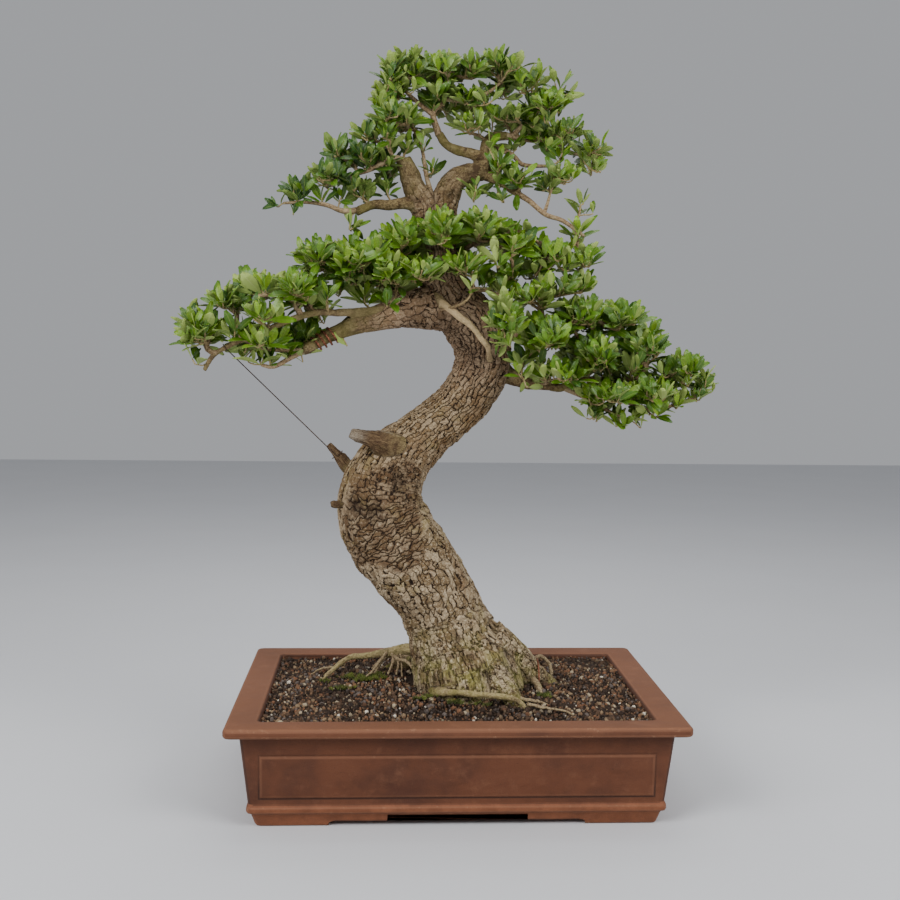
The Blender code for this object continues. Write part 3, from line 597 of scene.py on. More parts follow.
wood = {
    "skin": [(40, 48, 5.0), (15, 28, 5.0), (0, 14, 3.0)],  # for stems thicker than this, sides and step
    "gridSize": 1.6,  # of the skin before its relief
    "ridgeHeight": 4.2,
    "ridge": (1.9, 75.0, 0.75),  # how often round a stem, how long, and its share of the height
    "bump": (3.1, 22.0, 0.6),
    "fullStem": 26.0,  # thinner stems have lower ridges
    "barkRadii": (6.0, 26.0),  # up to which a stem's bark is young, and from which it is old
    "deadPart": (0.35, 0.62),  # of a dead stub: where it begins to be bare, and from where it is
    "freshFoot": 18.0,  # how far a pale root keeps the colour of the trunk
    "stemGap": 61.0,  # between the stems' patterns, so that none repeats another
    "sheetGap": 400.0,  # the same between the two sheets of a stem
    "cutAt": 395.0,  # the wood is two pieces, one below and one above this height
    "plate": (7.4, 12.0),  # across and along the stem
    "scale": (13.5, 4.4),  # the same for the flat scales round the elbow
    "shard": (0.2, 0.11),  # flakes to a millimetre on a plate, across and along
    "furrow": (0.6, 1.7),  # half the width of the cracks along the stem, and the same of those across
    "split": (0.45, 1.5),
    "wander": (2.6, 1.25),  # how many plates' width the furrows stray, in wide and in narrow bends
    "slant": 2.2,
    "relief": {"Crack Depth": 2.1, "Plate Lift": 1.6, "Grain Lift": 0.6},
    "hollows": [  # x, y, z, reach and depth
        (-117, -52, 334, 12, 7), (-94, -60, 328, 13, 8), (-63, -50, 363, 13, 7), (6, -50, 253, 5, 3),
        (-9, -8, 694, 5, 3), (39, -68, 140, 8, 4), (2, -54, 179, 6, 2.5), (64, -40, 160, 7, 3.5),
    ],
    "shadeAndBrownSpots": [  # places coloured darker: painted shade under the limbs at the bend and on the trunk's shaded left side, and darker patches near the foot; x, y, z, reach and how dark
        (18, -14, 507, 21, 0.8), (-1, -14, 529, 18, 0.75), (40, -14, 513, 15, 0.45), (-48, -12, 545, 16, 0.5),
        (-16, -12, 545, 14, 0.4), (30, -68, 143, 10, 0.6), (17, -62, 160, 8, 0.4), (-50, -40, 179, 9, 0.5),
        (58, -60, 142, 13, 0.5), (-96, -20, 262, 17, 0.35), (-54, -30, 220, 16, 0.3),
    ],
    "lumps": [  # like the hollows, but outwards
        (-121, -28, 541, 9, -4), (-112, -22, 545, 9, -3), (55, 4, 178, 9, -4), (68, 8, 166, 8, -4.5),
        (80, 12, 156, 8, -5), (93, 16, 146, 8, -5), (72, -14, 150, 8, -4), (84, -14, 137, 7, -4),
        (98, -10, 130, 8, -4), (46, -52, 160, 11, -3.5), (20, -70, 150, 10, -3), (60, -50, 132, 9, -3.5),
        (-12, -66, 138, 9, -3), (34, -78, 134, 8, -3), (70, -30, 170, 8, -3), (0, -6, 706, 7, -3),
        (14, -4, 728, 7, -3), (34, 0, 731, 6, -3), (-47, -10, 694, 7, -3), (-60, -8, 716, 6, -3),
        (-40, -8, 672, 8, -3), (-16, -12, 672, 7, -3), (24, 0, 716, 6, -2.5), (-66, -8, 736, 5, -2.5),
    ],
    "wild": [  # x, y, z and reach
        (-88, -44, 348, 36), (-96, -30, 312, 34), (-56, -40, 366, 22), (-70, -54, 306, 32),
        (-60, -52, 280, 24), (-104, -30, 288, 24),
    ],
    "crust": ((2, -76, 136), 50),  # the middle of the yellow crust at the foot of the trunk, and its reach
    "bareTip": ((-120, -50, 419), 24),  # the same of the grey end of the pointed stub
}
trunkPath = [
    (20, -18, 60, 66), (20, -18, 92, 66), (18, -16, 118, 65), (9, -6, 148, 58), (-6, 0, 189, 49.5),
    (-23, -4, 223, 47), (-48, -10, 260, 51), (-71, -14, 294, 53), (-86, -14, 325, 51.5), (-82, -8, 359, 46),
    (-60, 0, 392, 37.5), (-34, 6, 416, 31), (-9, 10, 437, 29.8), (16, 14, 462, 30), (31, 18, 491, 32),
    (33, 20, 520, 33.5), (19, 20, 548, 34), (-4, 18, 573, 31), (-18, 14, 602, 25.5), (-23, 10, 634, 22),
    (-23, 8, 668, 21),
]
leftLimb = [
    (4, 16, 561, 26), (-30, 8, 564, 25), (-60, -2, 560, 20), (-86, -10, 552, 15.5), (-112, -16, 545, 12),
    (-132, -20, 536, 9), (-157, -24, 523, 7), (-177, -28, 511, 5.6),
]
leftWiredLimb = [
    (-66, -6, 559, 10), (-96, -22, 559, 5), (-130, -34, 556, 4.4), (-171, -44, 553, 4), (-209, -44, 538, 3.6),
    (-249, -46, 521, 3.2), (-275, -46, 506, 2.9), (-287, -46, 488, 2.6),
]
rightLowLimb = [
    (30, 22, 505, 20), (48, 23, 496, 15), (66, 22, 485, 10.5), (86, 18, 476, 7.2), (108, 14, 474, 5.6),
    (128, 8, 472, 4.8), (156, 2, 482, 4), (198, 0, 480, 3.2),
]
upperLimbs = [
    [(-26, 8, 655, 18), (-38, 8, 684, 17), (-49, 4, 701, 13), (-57, 0, 721, 11), (-63, -2, 735, 9)],
    [(-28, 8, 676, 12), (-57, 2, 685, 7.5), (-78, -2, 682, 6.2), (-97, -7, 681, 5.6), (-117, -10, 673, 5)],
    [(-22, 8, 658, 19), (-13, 8, 690, 16.5), (-4, 8, 711, 14), (12, 8, 721, 12), (36, 8, 724, 9)],
    [(28, 8, 723, 8), (47, 4, 714, 6), (60, 0, 706, 5), (73, -6, 697, 4.4)],
    [(31, 8, 722, 8), (30, 6, 738, 7), (18, 3, 743, 6.4), (1, 0, 747, 5.8), (-13, -2, 753, 5.3),
     (-22, -4, 765, 5)],
    [(31, 8, 724, 7), (33, 12, 750, 5.9), (38, 15, 764, 5.3), (59, 16, 767, 5)],
]
paleLimb = [
    (-26, -6, 578, 5), (-6, -24, 560, 4.3), (12, -31, 546, 3.8), (25, -34, 532, 3.6), (36, -32, 518, 3.4),
    (40, -12, 504, 3.2),
]
deadStubs = [
    [(-54, -2, 390, 20), (-71, -26, 400, 17), (-86, -38, 407, 14), (-101, -46, 413, 9),
     (-117, -50, 417.5, 7.4), (-121.5, -51, 419, 5.2)],
    [(-96, -2, 352, 16), (-116, 2, 367, 9.5), (-127, 5, 376, 7), (-136, 7, 387, 6), (-149, 8, 401, 4)],
    [(-118, -30, 338, 9), (-135, -34, 335, 5), (-141, -35, 335, 5), (-144, -35.5, 335, 3.4)],
    [(-122, 4, 372, 6), (-127, 6, 380, 5.4), (-130, 7, 386, 4.6), (-132, 7, 391, 3)],
]
thickRoots = [
    [(40, -14, 168, 30), (76, -6, 142, 22), (96, -2, 126, 16), (122, 4, 108, 10), (140, 8, 90, 6)],
    [(30, 12, 160, 26), (66, 44, 136, 17), (92, 66, 118, 11), (112, 82, 96, 6)],
    [(0, 14, 160, 26), (-26, 46, 136, 16), (-46, 68, 124, 9), (-70, 84, 114, 6), (-92, 96, 96, 4)],
    [(30, -40, 146, 24), (54, -66, 128, 17), (70, -82, 112, 10), (82, -94, 92, 6)],
]
paleRoots = [
    [
        (-24, -62, 122, 6), (-2, -86, 127.5, 3.8), (20, -93, 127.5, 3.6), (46, -96, 125.5, 3.4),
        (68, -100, 122.5, 3.2), (86, -106, 105, 2.6),
    ],
    [
        (-26, 20, 152, 10), (-62, 34, 148, 6.6), (-92, 50, 138, 4.4), (-121, 54, 134, 3.5),
        (-140, 48, 124, 3.1), (-160, 40, 105, 2.6),
    ],
]
# Each stem has a path, and how old its bark is, how dead and how pale it is.
stems = [(trunkPath, 1.0, 0.0, 0.0), (leftLimb, 0.85, 0.0, 0.0), (leftWiredLimb, 0.2, 0.0, 0.15),
         (rightLowLimb, 0.5, 0.0, 0.0), (paleLimb, 0.0, 0.0, 1.0)]
stems += [(path, 0.75, 0.0, 0.0) for path in upperLimbs]
stems += [(path, 0.3, 1.0, 0.0) for path in deadStubs]
stems += [(path, 0.9, 0.0, 0.0) for path in thickRoots]
stems += [(path, 0.0, 0.0, 0.8) for path in paleRoots]


def ridges(point, angle, along, radius):
    # the long ridges of the bark and its hollows, as the solid has them
    (often, length, high), (often2, length2, high2) = wood["ridge"], wood["bump"]
    ridge = Vector((math.cos(angle) * often, math.sin(angle) * often, along / length))
    bump = Vector((math.cos(angle) * often2 + 7, math.sin(angle) * often2 + 3, along / length2 + 1))
    share = min(1.0, (radius / wood["fullStem"]) ** 0.7)
    height = wood["ridgeHeight"] * share * (high * noise.noise(ridge) + high2 * noise.noise(bump))
    for x, y, z, reach, depth in wood["hollows"] + wood["lumps"]:
        away = (Vector(point) - Vector((x, y, z))).length
        height -= depth * math.exp(-(away / reach) ** 2)
    return height


def stemSkin(path, sides, step):
    rows = smoothPath(path, step)
    side, upper, _ = framesAlong(rows[:, :3])
    along = lengthsAlong(rows[:, :3])
    rings = []
    for i, row in enumerate(rows):
        ring = []
        for k in range(sides):
            angle = 2 * math.pi * k / sides
            way = side[i] * math.cos(angle) + upper[i] * math.sin(angle)
            reach = row[3] + ridges(row[:3] + way * row[3], angle, along[i], row[3])
            ring.append(row[:3] + way * max(reach, 1.0))
        rings.append(ring)
    return skinOver(rings)


def straighten(points, rows, length, step):
    # for points by a stem: its nearest row, how far off its skin they are, and their place were it straight
    middle = rows[:, :3]
    side, upper, ahead = framesAlong(middle)
    away = np.linalg.norm(points[:, None] - middle, axis=2) - rows[:, 3]
    best = away.argmin(axis=1)
    passed = dots(points - middle[best], ahead[best]) >= 0
    low = np.clip(np.where(passed, best, best - 1), 0, len(rows) - 2)
    before = dots(points - middle[low], ahead[low])
    after = dots(points - middle[low + 1], ahead[low + 1])
    share = np.clip(before / np.maximum(before - after, 1e-6), -0.5, 1.5)[:, None]
    centre, across, over = (line[low] * (1 - share) + line[low + 1] * share for line in (middle, side, upper))
    along = length[low] + share[:, 0] * step
    place = np.stack([dots(points - centre, across), dots(points - centre, over), along], axis=1)
    return best, away[np.arange(len(points)), best], place


def lineUpWithStems(points, step=4.0, batch=20000):
    # for each point of the skin its straightened place, how old, dead and pale its bark is, and how far round
    # the stem it is on two sheets, one with its seam behind and one with its seam in front
    near = np.full(len(points), 1e9)
    place, kind, sheet = (np.zeros((len(points), 3)) for _ in range(3))
    young, old = wood["barkRadii"]
    alive, bare = wood["deadPart"]
    gap = wood["sheetGap"]
    for number, (path, age, dead, pale) in enumerate(stems):
        rows = smoothPath(path, step)
        length, mean = lengthsAlong(rows[:, :3]), np.median(rows[:, 3])
        for start in range(0, len(points), batch):
            best, distance, found = straighten(points[start:start + batch], rows, length, step)
            closer = distance < near[start:start + batch]
            mine = start + np.flatnonzero(closer)
            near[mine] = distance[closer]
            place[mine] = found[closer] + (0, 0, wood["stemGap"] * number)
            x, y, _ = found[closer].T
            turn = np.arctan2(y, x)
            sheet[mine] = np.stack([np.arctan2(-y, -x) * mean, turn * mean + gap, -np.cos(turn)], axis=1)
            stout, far = rows[best[closer], 3], length[best[closer]]
            kind[mine] = np.stack([age * np.clip((stout - young) / (old - young), 0, 1),
                                   dead * np.clip((far / length[-1] - alive) / (bare - alive), 0, 1),
                                   pale * np.clip(far / wood["freshFoot"], 0, 1)], axis=1)
    return {"barkPlace": place, "barkKind": kind, "barkSheet": sheet}


def nearSpots(points, spots):
    # spots of x, y, z, reach and share: how much of them each point gets
    total = np.zeros(len(points))
    for x, y, z, reach, share in spots:
        away = np.linalg.norm(points - np.array((x, y, z)), axis=1)
        total += share * np.exp(-(away / reach) ** 2)
    return total


def plateRows(graph, sheet, place):
    # plates in rows along the stem: how far from a crack, up to 1, and two numbers of the plate
    sheet = graph.parts(sheet)
    broad, tall = wood["plate"]
    wide, narrow = wood["wander"]
    bend = (graph.noise(place, (0.018, 0.018, 0.012)) - 0.5) * wide * 2
    bend = bend + (graph.noise(place, (0.1, 0.1, 0.07), 2.0, 0.6) - 0.5) * narrow * 2
    shove = graph.noise(graph.shift(place, (40, 9, 3)), (0.09, 0.09, 0.07), 2.0, 0.6) - 0.5
    lean = graph.noise(graph.shift(place, (7, 50, 3)), (0.04, 0.04, 0.04)) - 0.5
    column = sheet["X"] / broad + bend
    inColumn, number = column.only("FRACT"), column.only("FLOOR")
    own = graph.node("ShaderNodeTexWhiteNoise", {"noise_dimensions": "1D"}, {"W": number})["Value"]
    row = sheet["Y"] / tall + own * 5 + shove * 1.6 + lean * wood["slant"] * (inColumn - 0.5)
    inRow = row.only("FRACT")
    key = {"Vector": graph.join(number, row.only("FLOOR"))}
    dice = graph.parts(graph.node("ShaderNodeTexWhiteNoise", {"noise_dimensions": "2D"}, key)["Color"])
    width = graph.noise(place, (0.06, 0.06, 0.04), 3.0, 0.6).rise(0.3, 0.7)
    furrow, split = ((0.5 - (inside - 0.5).size()) * size / (width * (high - low) + low)
                     for inside, size, (low, high) in ((inColumn, broad, wood["furrow"]),
                                                       (inRow, tall, wood["split"])))
    split = split.most(dice["Z"].rise(0.74, 0.78))
    corner = (1 - furrow.least(1.0)) ** 2 + (1 - split.least(1.0)) ** 2
    return (1 - corner ** 0.5).most(0.0), dice["X"] + (0.5 - inRow) * 0.6, dice["Y"]


def scaleCells(graph, sheet, place):
    # flat scales in no order, in the same terms
    moved = graph.shift(sheet, graph.stray(place, 0.08, (14, 14, 0)))
    broad, tall = wood["scale"]
    values = {"Vector": graph.stretch(moved, (1 / broad, 1 / tall, 0)), "Scale": 1.0}
    cell, rim = (graph.node("ShaderNodeTexVoronoi", {"voronoi_dimensions": "2D", "feature": feature}, values)
                 for feature in ("F1", "DISTANCE_TO_EDGE"))
    dice = graph.parts(cell["Color"])
    return (rim["Distance"] / 0.17).least(1.0), dice["X"], dice["Y"]


def barkCells(graph, place, sheet, wild):
    # the plates of the bark, for its relief and its colours: each side from the sheet without a seam there
    sheet = graph.parts(sheet)
    front = sheet["Z"].rise(-0.1, 0.1)
    along = graph.parts(place)["Z"]
    mixed = []
    for across in (sheet["X"], sheet["Y"]):
        laid = graph.join(across, along)
        tame, rough = plateRows(graph, laid, place), scaleCells(graph, laid, place)
        mixed.append([one * (1 - wild) + other * wild for one, other in zip(tame, rough)])
    return [one * front + other * (1 - front) for one, other in zip(*mixed)]


def barkPattern(finish):
    tree, graph, given = newPattern("plated bark", {name: "Float" for name in wood["relief"]})
    place, kind, sheet = (graph.stored(name, "FLOAT_VECTOR") for name in
                          ("barkPlace", "barkKind", "barkSheet"))
    plate, lift, _ = barkCells(graph, place, sheet, graph.stored("barkWild"))
    kind = graph.parts(kind)
    old, dead = kind["X"], kind["Y"]
    fibre = graph.noise(place, (0.5, 0.5, 0.06), 3.0, 0.6) - 0.5
    knob = graph.noise(place, (0.08, 0.08, 0.055), 3.0, 0.55) - 0.5
    crumb = graph.noise(place, (0.35, 0.35, 0.28), 2.0, 0.6) - 0.5
    height = old * (given["Crack Depth"] * (plate - 0.75) + given["Plate Lift"] * (lift - 0.5))
    grain = fibre * (1 + dead * 3) + knob * (7.5 - old * 0.5) + crumb * 2 * old
    height = height + given["Grain Lift"] * grain
    values = {"Vector": graph.node("GeometryNodeInputNormal")["Normal"], "Scale": height * mm}
    moved = graph.node("ShaderNodeVectorMath", {"operation": "SCALE"}, values)["Vector"]
    values = {"Geometry": given["Geometry"], "Offset": moved}
    endPattern(graph, graph.node("GeometryNodeSetPosition", {}, values)["Geometry"], finish)
    return tree


def barkFinish():
    finish, graph, spot = newFinish("olive bark")
    place = graph.attribute("barkPlace")
    kind = graph.parts(graph.attribute("barkKind"))
    old, dead, pale = kind["X"], kind["Y"], kind["Z"]
    height = graph.parts(spot)["Z"]
    sheet, wild = graph.attribute("barkSheet"), graph.attribute("barkWild", "Fac")
    plate, _, tint = barkCells(graph, place, sheet, wild)
    cloud = graph.noise(spot, 0.02, 3.0, 0.6)
    patch = graph.noise(graph.shift(spot, (90, 3, 7)), 0.045, 4.0, 0.6)
    mottle = graph.noise(graph.shift(spot, (5, 33, 60)), 0.11, 3.0, 0.6)
    fine = graph.noise(place, (0.9, 0.9, 0.35), 4.0, 0.7)
    flake = graph.noise(place, (0.3, 0.3, 0.5), 4.0, 0.7)
    fibre = graph.noise(place, (0.7, 0.7, 0.05), 4.0, 0.65)
    across, along = wood["shard"]
    strewn = graph.stretch(graph.shift(place, graph.stray(place, 0.12, (9, 9, 9))), (across, across, along))
    values = {"Vector": strewn, "Scale": 1.0}
    shard = graph.node("ShaderNodeTexVoronoi", {"feature": "DISTANCE_TO_EDGE"}, values)
    shard = shard["Distance"].rise(0.0, 0.11)
    plates = graph.paint(
        (120, 100, 71),
        ((172, 153, 124), tint.rise(0.1, 0.85)),
        ((194, 178, 151), flake.rise(0.51, 0.64) * 0.75),
        ((84, 62, 40), flake.rise(0.48, 0.32) * 0.7),
        ((108, 80, 50), cloud.rise(0.5, 0.68) * 0.55),
        ((146, 132, 84), patch.rise(0.54, 0.7) * (0.2 + height.rise(470, 400) * 0.3)),
        ((104, 78, 46), height.rise(290, 370) * 0.3),
        ((158, 126, 102), height.rise(440, 500) * height.rise(640, 590) * 0.35),
        ((74, 52, 36), height.rise(600, 660) * (0.2 + mottle.rise(0.45, 0.6) * 0.5)),
        ((80, 56, 35), wild * (0.35 + mottle.rise(0.4, 0.65) * 0.45)),
        ((70, 52, 35), (1 - shard) * (0.3 - wild * 0.15)))
    plated = graph.paint(
        (30, 21, 14),
        ((88, 64, 41), plate.rise(0.05, 0.5)),
        (plates, plate.rise(0.18, 0.7)))
    young = graph.paint(
        (134, 116, 80),
        ((84, 67, 42), fine.rise(0.4, 0.62)),
        ((164, 146, 110), patch.rise(0.5, 0.66) * 0.7),
        ((60, 43, 29), flake.rise(0.48, 0.32) * 0.7),
        ((66, 48, 32), mottle.rise(0.5, 0.62) * 0.8),
        ((108, 102, 54), cloud.rise(0.44, 0.6) * 0.6))
    tip, reach = wood["bareTip"]
    weathered = graph.distance(spot, tip).rise(reach, reach * 0.4) * fibre.rise(0.3, 0.6)
    bare = graph.paint(
        (72, 53, 35),
        ((114, 93, 66), fibre.rise(0.42, 0.66)),
        ((48, 33, 24), fibre.rise(0.42, 0.3) * 0.8),
        ((152, 140, 122), patch.rise(0.55, 0.68) * 0.5),
        ((140, 130, 114), weathered * 0.6))
    root = graph.paint(
        (184, 166, 124),
        ((128, 108, 74), fine.rise(0.4, 0.65)),
        ((104, 98, 58), mottle.rise(0.5, 0.68) * (0.15 + height.rise(300, 200) * 0.45)),
        ((212, 184, 142), height.rise(440, 490) * (0.35 + patch.rise(0.4, 0.6) * 0.35)))
    algae = height.rise(215, 125) * patch.rise(0.42, 0.62) * 0.55 * (1 - pale * 0.7)
    heart, reach = wood["crust"]
    crust = graph.distance(spot, heart).rise(reach, reach * 0.25)
    crust = crust * mottle.rise(0.4, 0.56) * fine.rise(0.3, 0.5)
    colour = graph.paint(
        young,
        (plated, old.rise(0.08, 0.5)),
        (bare, dead),
        (root, pale),
        ((122, 120, 58), algae),
        ((136, 129, 64), crust * 0.5 * (1 - pale * 0.5)),
        ((56, 42, 28), height.rise(175, 130) * patch.rise(0.5, 0.38) * 0.55),
        ((46, 34, 22), height.rise(200, 150) * flake.rise(0.48, 0.38) * (1 - pale) * 0.75),
        ((206, 192, 152), height.rise(210, 160) * flake.rise(0.56, 0.66) * (1 - pale) * 0.4),
        # painted shade in the hollows, under the limbs and on the trunk's shaded side
        ((36, 25, 17), graph.attribute("barkShade", "Fac") * (0.5 + flake.rise(0.56, 0.44) * 0.35)))
    relief = (plate * old * 1.2 + fine * 0.6 + flake * (0.9 - old * 0.4) + mottle * (1 - old) * 1.6
              + fibre * dead * 0.8 + shard * old * 0.3)
    graph.surface(colour, 0.85, relief, 0.0013, specular=0.2)
    return finish


def makeWood(finish):
    points, faces = [], []
    for path, *_ in stems:
        stout = max(row[3] for row in path)
        sides, step = next((sides, step) for radius, sides, step in wood["skin"] if stout > radius)
        skin, around = stemSkin(path, sides, step)
        faces += [tuple(len(points) + i for i in face) for face in around]
        points += list(skin)
    piece = newPiece("liveWood", newMesh("liveWood", points, faces))
    whole = piece.modifiers.new("whole", "REMESH")
    whole.mode = "VOXEL"
    whole.voxel_size = wood["gridSize"] * mm
    soft = piece.modifiers.new("soft", "SMOOTH")
    soft.factor = 0.5
    soft.iterations = 3
    plainMesh(piece)
    points = pointsOf(piece)
    values = lineUpWithStems(points)
    # painted shade: the bark is coloured darker in its hollows, under the limbs and on the trunk's shaded
    # side, with some darker patches near the foot
    dark = nearSpots(points, [(*spot[:4], 1) for spot in wood["hollows"]] + wood["shadeAndBrownSpots"])
    wild = nearSpots(points, [(*spot, 1) for spot in wood["wild"]])
    values["barkShade"] = np.clip(dark, 0, 1)
    values["barkWild"] = np.clip((wild - 0.4) / 0.25, 0, 1)
    for name, each in values.items():
        giveValues(piece.data, name, each)
    piece.data.shade_smooth()
    applyPattern(piece, barkPattern(finish), wood["relief"])
    return piece


def cutOff(piece, name, height):
    # what lies above a height becomes a piece of its own, along the same edges
    upper = newPiece(name, piece.data.copy())
    middle = height * mm + potMiddle.z
    for part, keepsUpper in ((piece, False), (upper, True)):
        shape = bmesh.new()
        shape.from_mesh(part.data)
        spare = [face for face in shape.faces if (face.calc_center_median().z > middle) != keepsUpper]
        bmesh.ops.delete(shape, geom=spare, context="FACES")
        shape.to_mesh(part.data)
        shape.free()
    return upper


trunk = makeWood(barkFinish())
trunkFaces = [list(face.vertices) for face in trunk.data.polygons]
trunkTree = BVHTree.FromPolygons(pointsOf(trunk).tolist(), trunkFaces)
upperWood = cutOff(trunk, "upperWood", wood["cutAt"])
settle(trunk, "bark", "trunk")
settle(upperWood, "bark", "trunk")
print("wood:", len(trunk.data.polygons), "and", len(upperWood.data.polygons), "faces")


# Twigs and leaves

foliage = {
    "spacing": 11.8,  # between the ends of twigs
    "rim": 9.0,  # how far inside a cloud they stay
    "mostTips": 6000,
    "tries": (60.0, 30),  # for ends in a cloud: its reaches multiplied and divided by this, and so many more
    "reachOfTwigs": 95.0,
    "bareEnd": 11.0,  # where nothing branches off a twig
    "heed": 0.4,  # how much dearer a foot is for a twig when its branch heads elsewhere
    "bow": 0.35,  # share of a twig's length in which it turns away from its branch, and into its own end
    "twigStep": 6.0,
    "kink": 0.9,
    "tipRadius": 0.85,
    "thickening": 0.42,  # how a twig's radius grows with what it carries
    "twigRadii": (0.5, 6.5),
    "stoutest": 7.0,  # thicker stems are in the wood
    "twigLift": 0.8,  # how much twigs end upwards, and leaves bend upwards
    "leafLift": 0.22,
    "twigsOut": 0.6,  # how much twigs end away from the middle of their cloud
    "twigStray": 0.3,  # and how much by chance; the same of the leaves' way and of their tilt
    "leafStray": 0.12,
    "leafTilt": 0.3,
    "pairGaps": (5.0, 10.0),
    "spreads": ((46, 72), (16, 40)),  # degrees between leaf and twig, at the first and at the last pair
    "leafLength": {"crown": 25.5, "upperRight": 25.5, "upperLeft": 26.0, "middle": 28.0, "leftLow": 30.5,
                   "rightLow": 27.0},
    "leafSizes": (0.66, 1.2),
    "shrink": 0.25,  # how much smaller the leaves at the end of a twig are
    "stalk": (0.1, 0.02),  # its length and half its width, in shares of the leaf's length
    "thickness": 0.018,
    # painted light and shade: how much lighter or darker each pad's leaves are coloured, for how well lit the
    # pad is
    "padLightTone": {"crown": -0.1, "upperRight": -0.05, "upperLeft": -0.36, "middle": 0.16, "leftLow": 0.05,
                "rightLow": 0.08},
    "room": 1.5,  # that the leaves leave inside the box of the CAD
    "seed": 5,
}
